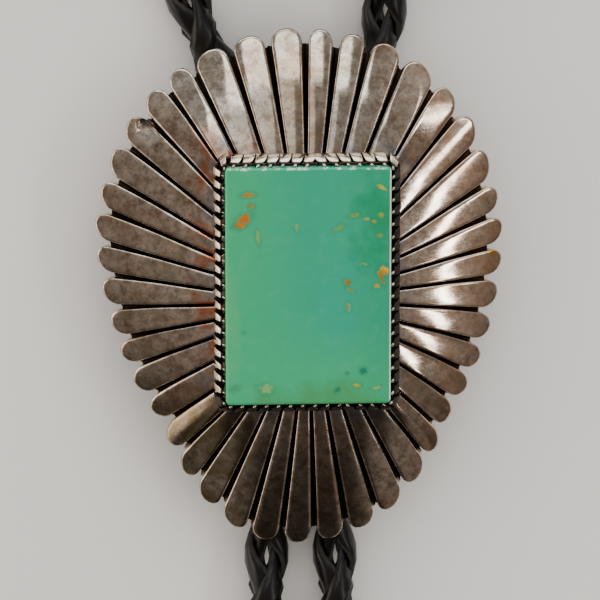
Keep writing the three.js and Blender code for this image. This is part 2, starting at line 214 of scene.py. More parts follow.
# %% Frames along a line, and the braid itself
BRAID_TURN = 19.0
LACE_WIDTH = 2.9
LACE_THICKNESS = 1.05
LACE_MIDDLE = 1.56
LACE_SWING = 0.5
LACE_SECTION = [
    # share of the half-width, share of the half-thickness
    (-1, -0.25), (-0.9, 0.7), (-0.4, 1), (0.4, 1), (0.9, 0.7), (1, -0.25), (0.55, -1), (-0.55, -1),
]


def carried_frames(line):
    """Two directions across the line at each point, carried along it without a twist."""
    tangents = np.gradient(line, axis=0)
    tangents /= np.linalg.norm(tangents, axis=1)[:, None]
    across = [np.array([0.0, 0.0, 1.0])]
    for tangent in tangents:
        turned = across[-1] - tangent * np.dot(across[-1], tangent)
        across.append(turned / np.linalg.norm(turned))
    across = np.array(across[1:])
    return across, np.cross(tangents, across)


def braided_cord(name, line):
    """Four flat laces braided round the line, with a UV map: u across a lace, v along it in cm."""
    along = np.concatenate([[0], np.cumsum(np.linalg.norm(np.diff(line, axis=0), axis=1))])
    outward, sideways = carried_frames(line)
    data = np.concatenate([line, outward, sideways], axis=1)
    rate = 2 * math.pi / BRAID_TURN
    lean = math.atan(rate * LACE_MIDDLE)
    count, sides = len(line), len(LACE_SECTION)
    corners, faces, uvs = [], [], []
    for hand, phase in ((1, 0), (1, math.pi), (-1, 0), (-1, math.pi)):
        first = len(corners) * count
        radius = LACE_MIDDLE + hand * LACE_SWING * np.cos(2 * rate * along)
        for c, h in LACE_SECTION:
            shift = c * LACE_WIDTH / 2
            at = np.clip(along - hand * shift * math.sin(lean), 0, along[-1])
            base = np.stack([np.interp(at, along, data[:, k]) for k in range(9)], axis=1)
            angle = hand * rate * along + phase + shift * math.cos(lean) / np.maximum(radius, 1.2)
            reach = radius + h * LACE_THICKNESS / 2
            corners.append(base[:, :3] + reach[:, None] * (
                np.cos(angle)[:, None] * base[:, 3:6] + np.sin(angle)[:, None] * base[:, 6:9]))
        for i in range(count - 1):
            for k in range(sides):
                n = (k + 1) % sides
                a, b, d, e = (first + k * count + i, first + n * count + i,
                              first + n * count + i + 1, first + k * count + i + 1)
                faces.append((a, e, d, b))
                u0, u1 = (LACE_SECTION[k][0] + 1) / 2, (LACE_SECTION[n][0] + 1) / 2
                v0, v1 = along[i] / 10, along[i + 1] / 10
                uvs.extend([(u0, v0), (u0, v1), (u1, v1), (u1, v0)])
        for i, order in ((0, 1), (count - 1, -1)):
            faces.append(tuple(first + k * count + i for k in range(sides))[::order])
            uvs.extend([((c + 1) / 2, along[i] / 10) for c, _ in LACE_SECTION][::order])
    mesh = bpy.data.meshes.new(name)
    mesh.from_pydata((np.concatenate(corners) / 1000).tolist(), [], faces)
    layer = mesh.uv_layers.new(name="lace")
    layer.data.foreach_set("uv", np.array(uvs).ravel())
    mesh.shade_smooth()
    mesh.validate()
    cord = bpy.data.objects.new(name, mesh)
    bpy.context.scene.collection.objects.link(cord)
    return cord


braid_left = braided_cord("braid_left_end", left_line)
braid_right = braided_cord("braid_right_end", right_line)
braid_neck = braided_cord("braid_neck_loop", neck_line)
print("braid, triangles:", sum(2 * len(o.data.polygons) for o in (braid_left, braid_right, braid_neck)))

# %% [markdown]
# ## Helpers for shaping by hand
# A new primitive is selected all over, and the CAD nodes are selected after loading, so each
# start deselects everything first. Faces, edges or points are then picked by where they are.

# %% Start a primitive, pick parts of it, finish a piece


def start(add, **how):
    """Adds a primitive, given by its operator, with nothing else selected."""
    if bpy.context.object and bpy.context.object.mode == "EDIT":
        bpy.ops.object.mode_set(mode="OBJECT")
    bpy.ops.object.select_all(action="DESELECT")
    add(**how)
    return bpy.context.active_object


def pick(kind, wanted):
    """Selects the verts, edges or faces of the piece in edit mode whose middle, in mm, is wanted."""
    bpy.ops.mesh.select_mode(type={"verts": "VERT", "edges": "EDGE", "faces": "FACE"}[kind])
    bpy.ops.mesh.select_all(action="DESELECT")
    work = bmesh.from_edit_mesh(bpy.context.edit_object.data)
    for part in getattr(work, kind):
        corners = [part] if kind == "verts" else part.verts
        middle = 1000 * sum((v.co for v in corners), Vector()) / len(corners)
        direction = 1000 * (corners[1].co - corners[0].co) if kind == "edges" else part.normal
        part.select_set(wanted(middle, direction))
    work.select_flush_mode()
    bmesh.update_edit_mesh(bpy.context.edit_object.data)


def edit(piece):
    bpy.context.view_layer.objects.active = piece
    bpy.ops.object.mode_set(mode="EDIT")


def modifier(piece, kind, **settings):
    """Adds a modifier with its settings and applies it."""
    bpy.ops.object.mode_set(mode="OBJECT")
    bpy.context.view_layer.objects.active = piece
    made = piece.modifiers.new(kind.lower(), kind)
    for key, value in settings.items():
        setattr(made, key, value)
    bpy.ops.object.modifier_apply(modifier=made.name)


def settle(piece, name, sharp=35):
    """Names a piece, puts its place into its mesh, and smooths all but its sharp edges."""
    if bpy.context.object.mode == "EDIT":
        bpy.ops.object.mode_set(mode="OBJECT")
    bpy.ops.object.select_all(action="DESELECT")
    piece.select_set(True)
    bpy.context.view_layer.objects.active = piece
    bpy.ops.object.transform_apply(location=True, rotation=True, scale=True)
    bpy.ops.object.shade_smooth_by_angle(angle=math.radians(sharp))
    piece.name = piece.data.name = name
    low = [round(1000 * min(v.co[k] for v in piece.data.vertices), 2) for k in range(3)]
    high = [round(1000 * max(v.co[k] for v in piece.data.vertices), 2) for k in range(3)]
    print(name, "from", low, "to", high, "mm,", len(piece.data.polygons), "faces")
    return piece


# %% [markdown]
# ## The sunburst plate
# The slide is a sheet of silver, cut out, domed, and chiselled into 41 flat rays with dark grooves
# between them. The blank starts as a flat grid: each column of its points becomes a line that
# runs out along a ray, and each row goes once round the stone. The chart below says where.

# %% Sizes of the slide, in mm, as in the CAD part
SLIDE_WIDTH, SLIDE_HEIGHT = 45.0, 58.5
PLATE_THICKNESS = 1.6
DOME_DROP = 4.0
DOME_EVEN_SHARE = 0.65
RAY_PLANE = 11.4
STONE_CENTRE = (0.7, 1.2)
STONE_WIDTH, STONE_HEIGHT = 18.4, 26.7
STONE_CLEARANCE = 0.25
BEZEL_WALL = 0.85
BEZEL_HALF = (STONE_WIDTH / 2 + STONE_CLEARANCE + BEZEL_WALL / 2,
              STONE_HEIGHT / 2 + STONE_CLEARANCE + BEZEL_WALL / 2)

# %% Chart of the rays
FANS = [
    # rays in the fan, degrees where it starts at the bezel and at the rim, how far it reaches
    (2, -0.4, 2.0, 1.000), (2, 22, 20.5, 1.048), (3, 45, 41.0, 1.080), (3, 73, 67.0, 1.050),
    (3, 94, 88.0, 0.982), (3, 115, 111.5, 0.926), (4, 139, 136.3, 1.014), (4, 177, 175.3, 1.018),
    (4, 213, 214.5, 0.868), (3, 247, 250.3, 0.946), (3, 266.5, 273.8, 1.045), (2, 289, 295.1, 1.064),
    (2, 306.5, 311.6, 1.046), (3, 322, 328.6, 1.000),
]
groove_lines = []
fan_middles = []
for (rays, bezel, rim, reach), (_, next_bezel, next_rim, _) in zip(
        FANS, FANS[1:] + [(0, FANS[0][1] + 360, FANS[0][2] + 360, 0)]):
    fan_middles.append(len(groove_lines) + rays / 2)
    for k in range(rays):
        groove_lines.append((bezel + (next_bezel - bezel) * k / rays, rim + (next_rim - rim) * k / rays))
RAYS = len(groove_lines)
groove_lines.append((groove_lines[0][0] + 360, groove_lines[0][1] + 360))
reach_places = [fan_middles[-1] - RAYS, *fan_middles, fan_middles[0] + RAYS]
reach_values = [FANS[-1][3], *[fan[3] for fan in FANS], FANS[0][3]]
print("rays:", RAYS)


def bezel_point(clock):
    angle = math.radians(clock)
    side = max(abs(math.sin(angle)), abs(math.cos(angle)))
    return Vector((STONE_CENTRE[0] + BEZEL_HALF[0] * math.sin(angle) / side,
                   STONE_CENTRE[1] + BEZEL_HALF[1] * math.cos(angle) / side))


def rim_point(clock, ray):
    angle = math.radians(clock)
    reach = float(np.interp(ray, reach_places, reach_values))
    return Vector((SLIDE_WIDTH / 2 * reach * math.sin(angle), SLIDE_HEIGHT / 2 * reach * math.cos(angle)))


# %% Shape of one ray: its width, its round end, its softened edge and the groove beside it
GROOVE_DEPTH = 0.9
GROOVE_AT_BEZEL = 0.3
GROOVE_AT_RIM = 0.34
WIDER_AT_THE_ENDS = 0.42
SLOPED_AT_THE_ENDS = 0.36
SLOPE_STARTS, SLOPE_LENGTH, SLOPE_CURVE = 0.45, 0.5, 1.6
RUBBED_AT_END, RUBBED_TO_NECK, RUB_CURVE = 0.3, 0.6, 0.7
WALL_REACH = 0.35
ROUND_END = 1.55
NOTCH_DEPTH = 1.75
EDGE_ROLL = 0.2
CROWN = 0.04
FACE_TURNS = [90, 79, 67, 54, 38, 20, 0, -20, -38, -54, -67, -79, -90]
WALL_STEPS = [(0.05, 0.35), (0.2, 0.74)]
columns_of_face_and_wall = len(WALL_STEPS) + len(FACE_TURNS)
ROW_SHARES = [0, 0.03, 0.09, 0.17, 0.26, 0.35, 0.44, 0.53, 0.62, 0.71, 0.8, 0.9]
END_STEPS = [1.6, 1.2, 0.85, 0.55, 0.36, 0.24, 0.15, 0.08, 0.03, 0]


def rolled(distance):
    """How far an edge has rolled down at this distance in from it."""
    inward = min(max(EDGE_ROLL - distance, 0), EDGE_ROLL)
    return EDGE_ROLL - math.sqrt(EDGE_ROLL ** 2 - inward ** 2)


def ray_point(ray, column, row):
    """Place on the dome of one point of the blank, in mm, how deep it is chiselled, and how sooty."""
    line, following = groove_lines[ray], groove_lines[ray + 1]
    corners = (bezel_point(line[0]), bezel_point(following[0]), rim_point(line[1], ray),
               rim_point(following[1], ray + 1))
    start_wide = (corners[1] - corners[0]).length
    end_wide = (corners[3] - corners[2]).length
    middle_in = bezel_point((line[0] + following[0]) / 2)
    middle_out = rim_point((line[1] + following[1]) / 2, ray + 0.5)
    long = (middle_out - middle_in).length
    face = column - 1 - len(WALL_STEPS)
    on_face = 0 <= face < len(FACE_TURNS)
    turn = math.radians(FACE_TURNS[face]) if on_face else 0
    short = ROUND_END * (1 - math.cos(turn)) if on_face else NOTCH_DEPTH
    own = long - short
    share = ROW_SHARES[row] * (1 - END_STEPS[0] / own) if row < len(ROW_SHARES) \
        else 1 - END_STEPS[row - len(ROW_SHARES)] / own
    along = share * own / long
    wide = start_wide + (end_wide - start_wide) * along
    clock = math.radians((line[1] + following[1]) / 2)
    groove_at_rim = GROOVE_AT_RIM + WIDER_AT_THE_ENDS * math.cos(clock) ** 2
    half = (wide - GROOVE_AT_BEZEL - (groove_at_rim - GROOVE_AT_BEZEL) * along) / 2
    side = 1 if turn < 0 or column > columns_of_face_and_wall else -1
    to_neck = max(0, -side * math.sin(clock))
    near_end = min(max((along - SLOPE_STARTS) / SLOPE_LENGTH, 0), 1)
    half -= SLOPED_AT_THE_ENDS * to_neck * near_end ** SLOPE_CURVE
    if on_face:
        across = -half * math.sin(turn)
        left = long * (1 - along)
        far = max(0, 1 - left / ROUND_END)
        inside = 1 - math.hypot(across / half, far)
        cut = rolled(inside * min(half, ROUND_END)) - CROWN * max(0, 1 - (across / half) ** 2)
        soot_and_shade = 0
    elif column == 0:
        across, cut, soot_and_shade = -wide / 2, GROOVE_DEPTH, 1
    else:
        step = column - 1 if column <= len(WALL_STEPS) else len(FACE_TURNS) + 2 * len(WALL_STEPS) - column
        step = len(WALL_STEPS) - 1 - step
        gap, depth = WALL_STEPS[step]
        across = side * (half + gap * (wide / 2 - half) / WALL_REACH)
        cut = EDGE_ROLL + (GROOVE_DEPTH - EDGE_ROLL) * depth
        soot_and_shade = 1 - (RUBBED_AT_END + RUBBED_TO_NECK * to_neck) * near_end ** RUB_CURVE
    if row == 0:
        cut = 0
    place = 0.5 + across / wide
    inner = bezel_point(line[0] + (following[0] - line[0]) * place)
    outer = rim_point(line[1] + (following[1] - line[1]) * place, ray + place)
    flat = inner.lerp(outer, along)
    fall = DOME_DROP * (DOME_EVEN_SHARE * along + (1 - DOME_EVEN_SHARE) * along ** 2)
    return (flat.x, flat.y, RAY_PLANE - fall), cut, soot_and_shade


# %% Lay the grid out on the dome
columns_per_ray = 1 + 2 * len(WALL_STEPS) + len(FACE_TURNS)
rows = len(ROW_SHARES) + len(END_STEPS)
columns = RAYS * columns_per_ray
plate = start(bpy.ops.mesh.primitive_grid_add, x_subdivisions=columns, y_subdivisions=rows - 1, size=2)
cuts, soots = [], []
for vertex in plate.data.vertices:
    column = round((vertex.co.x + 1) / 2 * columns) % columns
    row = round((vertex.co.y + 1) / 2 * (rows - 1))
    place, cut, soot_and_shade = ray_point(column // columns_per_ray, column % columns_per_ray, row)
    vertex.co = Vector(place) / 1000
    cuts.append(cut / 1000)
    soots.append(soot_and_shade)
for key, values in (("cut", cuts), ("soot_and_shade", soots)):
    plate.data.attributes.new(key, "FLOAT", "POINT").data.foreach_set("value", values)
print("grid:", columns, "columns,", rows, "rows")

# %% Close the grid into a ring, fill its middle, and give the sheet its thickness
edit(plate)
bpy.ops.mesh.select_all(action="SELECT")
bpy.ops.mesh.remove_doubles(threshold=1e-6)
work = bmesh.from_edit_mesh(plate.data)
edge_z = RAY_PLANE / 1000 - 1e-7
bpy.ops.mesh.select_all(action="DESELECT")
for e in work.edges:
    e.select_set(e.is_boundary and all(v.co.z > edge_z for v in e.verts))
bmesh.update_edit_mesh(plate.data)
bpy.ops.mesh.edge_face_add()
bpy.ops.object.mode_set(mode="OBJECT")
top_points = len(plate.data.vertices)
modifier(plate, "SOLIDIFY", thickness=PLATE_THICKNESS / 1000, offset=-1)

# %% Chisel the grooves and roll the edges: each point of the top goes down by its own cut
NICK_PLACE, NICK_SIZE, NICK_DEPTH = Vector((-17.0, 18.6)), 0.8, 0.8
depths = np.zeros(len(plate.data.vertices))
plate.data.attributes["cut"].data.foreach_get("value", depths)
for vertex in plate.data.vertices[:top_points]:
    vertex.co.z -= depths[vertex.index]
    near = (1000 * vertex.co.xy - NICK_PLACE).length / NICK_SIZE
    vertex.co.z -= NICK_DEPTH / 1000 * max(0, 1 - near ** 3)
    if near < 0.9:
        plate.data.attributes["soot_and_shade"].data[vertex.index].value = 0.8
plate = settle(plate, "sunburst_plate", sharp=50)

# %% [markdown]
# ## The serrated bezel
# A strip of silver stands round the stone. Its upper edge is cut into small slanted teeth that
# were pushed in over the stone, and each ends in a bright bead. One tooth is modelled and copied
# round the strip. The copies differ a little, as filed ones do: on the left they are narrow, with
# black gaps. Away from the neck and on the right, painted shade makes them black all but for the bead.

# %% A point and an outward direction on the strip, at a share of its way round
BEZEL_TEETH = 69
BEZEL_CORNER = 1.18


def on_bezel(share):
    straights = [2 * (BEZEL_HALF[0] - BEZEL_CORNER), 2 * (BEZEL_HALF[1] - BEZEL_CORNER)] * 2
    arc = BEZEL_CORNER * math.pi / 2
    left = (share % 1) * (sum(straights) + 4 * arc)
    corner = [Vector((-1, 1)), Vector((1, 1)), Vector((1, -1)), Vector((-1, -1))]
    inner_half = Vector((BEZEL_HALF[0] - BEZEL_CORNER, BEZEL_HALF[1] - BEZEL_CORNER))
    for k, straight_length in enumerate(straights):
        out = math.radians(90 - 90 * k)
        start_at = corner[k] * inner_half
        if left <= straight_length:
            turn = out
            place = start_at + left * Vector((math.sin(out), -math.cos(out)))
            break
        left -= straight_length
        if left <= arc:
            turn = out - left / BEZEL_CORNER
            place = corner[(k + 1) % 4] * inner_half
            break
        left -= arc
    place = place + BEZEL_CORNER * Vector((math.cos(turn), math.sin(turn)))
    return place + Vector(STONE_CENTRE), turn


# %% One tooth: a block drawn up and inwards, ring by ring, to a small bead over the stone
bezel_round = 2 * (2 * BEZEL_HALF[0] + 2 * BEZEL_HALF[1]) - 8 * BEZEL_CORNER + 2 * math.pi * BEZEL_CORNER
TOOTH_WIDTH = bezel_round / BEZEL_TEETH
TOOTH_RINGS = [
    # height, outer side, inner side, share of the tooth's width
    (-0.3, 0.52, -0.3, 0.97), (0.8, 0.52, -0.3, 0.95), (1.45, 0.38, -0.3, 0.88), (1.95, -0.02, -0.2, 0.72),
    (2.08, -0.2, -0.34, 0.3), (2.14, -0.42, -0.48, 0.24),
]
BEAD_PLACE, BEAD_RADIUS = (-0.5, 0, 2.26), 0.2
tooth = start(bpy.ops.mesh.primitive_cube_add, size=0.001)
edit(tooth)
low, outer, inner, share = TOOTH_RINGS[0]
high = TOOTH_RINGS[1][0]
bpy.ops.transform.resize(value=(outer - inner, share * TOOTH_WIDTH, high - low))
bpy.ops.transform.translate(value=((outer + inner) / 2000, 0, (high + low) / 2000))
pick("faces", lambda middle, normal: normal.z > 0.9)
for (z, out_from, in_from, wide_from), (new_z, out_to, in_to, wide_to) in zip(
        TOOTH_RINGS[1:], TOOTH_RINGS[2:]):
    move = ((out_to + in_to - out_from - in_from) / 2000, 0, (new_z - z) / 1000)
    bpy.ops.mesh.extrude_region_move(TRANSFORM_OT_translate={"value": move})
    bpy.ops.transform.resize(value=((out_to - in_to) / (out_from - in_from), wide_to / wide_from, 1))
bpy.ops.mesh.select_all(action="SELECT")
bpy.ops.mesh.bevel(offset=0.00007, segments=2, affect="EDGES")
bpy.ops.mesh.primitive_uv_sphere_add(
    segments=10, ring_count=6, radius=BEAD_RADIUS / 1000, location=[side / 1000 for side in BEAD_PLACE])
bpy.ops.object.mode_set(mode="OBJECT")
print("tooth:", round(TOOTH_WIDTH, 3), "mm wide,", len(tooth.data.polygons), "faces")

# %% Soot of the tooth: at its foot, down its two sides, and on its neck behind the bead
tooth_soot = []
for vertex in tooth.data.vertices:
    x, y, z = 1000 * vertex.co
    beside = abs(y) > 0.455 * TOOTH_WIDTH * (1 if z < 1.6 else 0.86)
    on_bead = (Vector((x, y, z)) - Vector(BEAD_PLACE)).length < 1.05 * BEAD_RADIUS
    neck = x < -0.12 and z > 1.7
    tooth_soot.append(0.9 if not on_bead and (z < 0.15 or beside or neck) else 0.0)
tooth.data.attributes.new("soot_and_shade", "FLOAT", "POINT").data.foreach_set("value", tooth_soot)

# %% The strip behind the teeth: an open box with round corners and a wall
STRIP_HEIGHT, STRIP_THICKNESS = 1.6, 0.6
strip = start(bpy.ops.mesh.primitive_cube_add, size=0.001)
edit(strip)
bpy.ops.transform.resize(value=(
    2 * BEZEL_HALF[0] + BEZEL_WALL * 0.6, 2 * BEZEL_HALF[1] + BEZEL_WALL * 0.6, STRIP_HEIGHT))
bpy.ops.transform.translate(value=(
    STONE_CENTRE[0] / 1000, STONE_CENTRE[1] / 1000, (RAY_PLANE + 0.5) / 1000))
pick("faces", lambda middle, normal: abs(normal.z) > 0.9)
bpy.ops.mesh.delete(type="ONLY_FACE")
pick("edges", lambda middle, direction: abs(direction.z) > 0.5)
bpy.ops.mesh.bevel(offset=BEZEL_CORNER / 1000, segments=6, affect="EDGES")
modifier(strip, "SOLIDIFY", thickness=STRIP_THICKNESS / 1000, offset=-1)
strip.data.attributes.new("soot_and_shade", "FLOAT", "POINT").data.foreach_set(
    "value", [1.0] * len(strip.data.vertices))

# %% Copy the tooth round the strip, slanted one way and then the other, and join all into one piece
TOOTH_SLANT = 0.5
SLANT_VARIES, HEIGHT_VARIES, TURN_VARIES = 0.12, 0.03, 0.05
SLANT_FLIPS_AT = (0.1, 0.55)
# Which teeth get painted shade, how dark it is, and the bead that is left out of it
SHADED_TEETH_FROM, SHADED_TEETH_TO = 0.19, 0.7
PAINTED_SHADE_ON_TEETH, BEAD_STAYS_BRIGHT = 0.93, -0.31
FAR_SIDE_THINNER, LEFT_NARROWER = 0.9, 0.64
teeth = []
for k in range(BEZEL_TEETH):
    place, turn = on_bezel((k + 0.5) / BEZEL_TEETH)
    copy = tooth.copy()
    copy.data = tooth.data.copy()
    bpy.context.scene.collection.objects.link(copy)
    side = 1 if SLANT_FLIPS_AT[0] < k / BEZEL_TEETH < SLANT_FLIPS_AT[1] else -1
    uneven = math.sin(7.3 * k)
    far_side = SHADED_TEETH_FROM < k / BEZEL_TEETH < SHADED_TEETH_TO
    slanted = Matrix.Shear("YZ", 4, (side * (TOOTH_SLANT + SLANT_VARIES * uneven), 0))
    on_left = k / BEZEL_TEETH > SHADED_TEETH_TO
    sized = Matrix.Diagonal((
        FAR_SIDE_THINNER if far_side else 1, LEFT_NARROWER if on_left else 1,
        1 + HEIGHT_VARIES * math.sin(4.1 * k), 1))
    # Painted shade: away from the neck and on the right, each tooth but its bead is made nearly black
    if far_side:
        soot_and_painted_shade = [
            max(s, PAINTED_SHADE_ON_TEETH) if 1000 * v.co.x > BEAD_STAYS_BRIGHT else s
            for s, v in zip(tooth_soot, copy.data.vertices)]
        copy.data.attributes["soot_and_shade"].data.foreach_set("value", soot_and_painted_shade)
    copy.data.transform(slanted @ sized)
    copy.matrix_world = Matrix.Translation((place.x / 1000, place.y / 1000, RAY_PLANE / 1000)) \
        @ Matrix.Rotation(turn + TURN_VARIES * uneven, 4, "Z")
    teeth.append(copy)
bpy.data.objects.remove(tooth)
bpy.ops.object.select_all(action="DESELECT")
for piece in [strip, *teeth]:
    piece.select_set(True)
bpy.context.view_layer.objects.active = strip
bpy.ops.object.join()
bezel = settle(strip, "serrated_bezel", sharp=40)

# %% [markdown]
# ## The stone
# A tablet of green turquoise, sawn and ground flat, with small softened edges. A cube is sized,
# its upright corners are rounded, and the edge of its top is bevelled.

# %% Stone
STONE_THICKNESS = 2.5
STONE_EDGE = 0.28
STONE_CORNER = 0.5
stone = start(bpy.ops.mesh.primitive_cube_add, size=0.001)
edit(stone)
bpy.ops.transform.resize(value=(STONE_WIDTH, STONE_HEIGHT, STONE_THICKNESS))
stone_middle = RAY_PLANE + STONE_CLEARANCE + STONE_THICKNESS / 2
bpy.ops.transform.translate(value=(STONE_CENTRE[0] / 1000, STONE_CENTRE[1] / 1000, stone_middle / 1000))
pick("edges", lambda middle, direction: abs(direction.z) > 1)
bpy.ops.mesh.bevel(offset=STONE_CORNER / 1000, segments=4, affect="EDGES")
pick("edges", lambda middle, direction: middle.z > RAY_PLANE + 2.7 and abs(direction.z) < 0.01)
bpy.ops.mesh.bevel(offset=STONE_EDGE / 1000, segments=3, affect="EDGES")
pick("faces", lambda middle, normal: normal.z > 0.99)
bpy.ops.mesh.inset(thickness=0.00006)
stone = settle(stone, "turquoise_tablet", sharp=40)

# %% [markdown]
# ## The guide on the back
# Two plain channels, side by side, hold the cord under the plate. They are bored through one block.

# %% Guide
GUIDE_SIZE = (14.3, 18, 10.1)
GUIDE_CORNER = 2.8
CHANNEL_RADIUS = 2.9
guide = start(bpy.ops.mesh.primitive_cube_add, size=0.001)
edit(guide)
bpy.ops.transform.resize(value=GUIDE_SIZE)
bpy.ops.transform.translate(value=(STONE_CENTRE[0] / 1000, STONE_CENTRE[1] / 1000, GUIDE_SIZE[2] / 2000))
pick("edges", lambda middle, direction: abs(direction.y) > 1 and middle.z < 1)
bpy.ops.mesh.bevel(offset=GUIDE_CORNER / 1000, segments=6, affect="EDGES")
for x in CHANNEL_PLACES:
    bore = start(
        bpy.ops.mesh.primitive_cylinder_add, vertices=40, radius=CHANNEL_RADIUS / 1000, depth=0.03,
        location=(x / 1000, STONE_CENTRE[1] / 1000, CHANNEL_HEIGHT / 1000), rotation=(math.pi / 2, 0, 0))
    modifier(guide, "BOOLEAN", operation="DIFFERENCE", object=bore, solver="EXACT")
    bpy.data.objects.remove(bore)
modifier(guide, "BEVEL", width=0.0002, segments=2, limit_method="ANGLE", angle_limit=math.radians(50))
guide = settle(guide, "cord_guide", sharp=40)

# %% [markdown]
# ## The tips
# Each cord end is crimped into a long silver ferrule that tapers to a round point. A ring of
# points is drawn out step by step: each step moves it along and gives it a new size.

# %% Tips
TIP_RINGS = [
    # distance from the mouth, radius
    (6.0, 2.62), (0.1, 2.66), (0.0, 2.8), (0.0, 3.45), (0.12, 3.58), (0.8, 3.6), (0.95, 3.5), (1.1, 3.48),
    (1.25, 3.58), (2.0, 3.6), (2.85, 3.58), (3.0, 3.5), (3.2, 3.32), (3.5, 3.28), (20.0, 2.33), (36.2, 1.5),
    (37.0, 1.32), (37.6, 0.95), (37.9, 0.5),
]
TIP_MOUTH_RADIUS, TIP_END_RADIUS, TIP_LENGTH, TIP_COLLAR = 3.6, 1.5, 38, 3
TIP_CLEARANCE = 0.3
TIP_SLOPE = math.atan2(TIP_MOUTH_RADIUS - TIP_END_RADIUS, TIP_LENGTH - TIP_END_RADIUS - TIP_COLLAR)
TIP_MOUTH_Y = CORD_END_Y - TIP_CLEARANCE - TIP_MOUTH_RADIUS * math.sin(TIP_SLOPE)
TIP_MOUTH_Z = TIP_MOUTH_RADIUS * math.cos(TIP_SLOPE) + TIP_COLLAR * math.sin(TIP_SLOPE)


def silver_tip(name, x):
    tip = start(
        bpy.ops.mesh.primitive_circle_add, vertices=48, radius=TIP_RINGS[0][1] / 1000, fill_type="NGON")
    edit(tip)
    bpy.ops.mesh.select_all(action="SELECT")
    here, radius = TIP_RINGS[0]
    bpy.ops.transform.translate(value=(0, 0, here / 1000))
    for place, new_radius in TIP_RINGS[1:]:
        bpy.ops.mesh.extrude_region_move(TRANSFORM_OT_translate={"value": (0, 0, (place - here) / 1000)})
        bpy.ops.transform.resize(value=(new_radius / radius, new_radius / radius, 1))
        here, radius = place, new_radius
    bpy.ops.mesh.select_all(action="SELECT")
    bpy.ops.mesh.normals_make_consistent(inside=False)
    bpy.ops.object.mode_set(mode="OBJECT")
    tip.matrix_world = Matrix.Translation((x / 1000, TIP_MOUTH_Y / 1000, TIP_MOUTH_Z / 1000)) \
        @ Matrix.Rotation(math.pi / 2 + TIP_SLOPE, 4, "X")
    return settle(tip, name, sharp=30)


tip_left = silver_tip("ferrule_left", TIP_PLACES[0])
tip_right = silver_tip("ferrule_right", TIP_PLACES[1])

# %% [markdown]
# ## The tie round the hank
# A strip of the same black leather goes once round the folded cord.

# %% Tie
TIE_HALF_WIDTH, TIE_HEIGHT, TIE_BREADTH = 24.7, 10.74, 6.0
tie = start(bpy.ops.mesh.primitive_cube_add, size=0.001)
edit(tie)
bpy.ops.transform.resize(value=(2 * TIE_HALF_WIDTH, TIE_BREADTH, TIE_HEIGHT))
bpy.ops.transform.translate(value=(0, HANK_MIDDLE / 1000, TIE_HEIGHT / 2000))
pick("faces", lambda middle, normal: abs(normal.y) > 0.9)
bpy.ops.mesh.delete(type="ONLY_FACE")
pick("edges", lambda middle, direction: abs(direction.y) > 1)
bpy.ops.mesh.bevel(offset=0.003, segments=6, affect="EDGES")
modifier(tie, "SOLIDIFY", thickness=0.0008, offset=-1)
modifier(tie, "BEVEL", width=0.0002, segments=2, limit_method="ANGLE", angle_limit=math.radians(50))
tie = settle(tie, "leather_tie", sharp=50)

# %% [markdown]
# ## Finishes
# Each finish starts from what the real one is. One function turns a given colour
# into the linear values that shaders use, and one adds a node with its settings and links.

# %% Colours and nodes


def colour(code):
    """Linear red, green, blue and alpha of an sRGB colour written as six hexadecimal digits."""
    parts = [int(code[k:k + 2], 16) / 255 for k in (0, 2, 4)]
    return [p / 12.92 if p <= 0.04045 else ((p + 0.055) / 1.055) ** 2.4 for p in parts] + [1.0]


def add_node(tree, kind, settings=None, inputs=None):
    """Adds a node. inputs gives each socket, by name or number, a value or another node's output."""
    made = tree.nodes.new(kind)
    for key, value in (settings or {}).items():
        setattr(made, key, value)
    for key, value in (inputs or {}).items():
        if isinstance(value, bpy.types.NodeSocket):
            tree.links.new(value, made.inputs[key])
        else:
            made.inputs[key].default_value = value
    return made


def new_finish(name):
    """A new material, and its empty node tree."""
    made = bpy.data.materials.new(name)
    made.use_nodes = True
    made.node_tree.nodes.clear()
    return made, made.node_tree


def wear(piece, finish):
    piece.data.materials.clear()
    piece.data.materials.append(finish)


# %% [markdown]
# ### Worn, oxidised silver
# Sterling silver that was blackened, rubbed bright on its rays, and then worn for years. Fine
# strokes in three directions give it a soft sheen, mottled brown and green make it look old, and
# soot stays black in the grooves. Grey and orange tarnish lie near the stone, a pinkish one at the
# right rim, an olive one at the lower left, and one speck of gold sits on the end of a ray.

# %% Silver of the slide
silver, tree = new_finish("oxidised_sterling_silver")
place = add_node(tree, "ShaderNodeTexCoord").outputs["Object"]
cloud = add_node(tree, "ShaderNodeTexNoise", None, {
    "Vector": place, "Scale": 700.0, "Detail": 8.0, "Roughness": 0.78})
patch = add_node(tree, "ShaderNodeTexNoise", None, {"Vector": place, "Scale": 150.0, "Detail": 5.0})
strokes = []
for degrees, scale, thin in ((35, 460.0, 16), (-50, 400.0, 18), (80, 520.0, 14)):
    turned = add_node(tree, "ShaderNodeMapping", None, {
        "Vector": place, "Rotation": (0, 0, math.radians(degrees)), "Scale": (1, thin, 1)})
    strokes.append(add_node(tree, "ShaderNodeTexNoise", None, {
        "Vector": turned.outputs[0], "Scale": scale, "Detail": 4.0}).outputs["Fac"])
two = add_node(tree, "ShaderNodeMath", {"operation": "ADD"}, {0: strokes[0], 1: strokes[1]})
scratches = add_node(tree, "ShaderNodeMath", {"operation": "ADD"}, {0: two.outputs[0], 1: strokes[2]})
soot_and_shade = add_node(tree, "ShaderNodeAttribute", {"attribute_name": "soot_and_shade"}).outputs["Fac"]

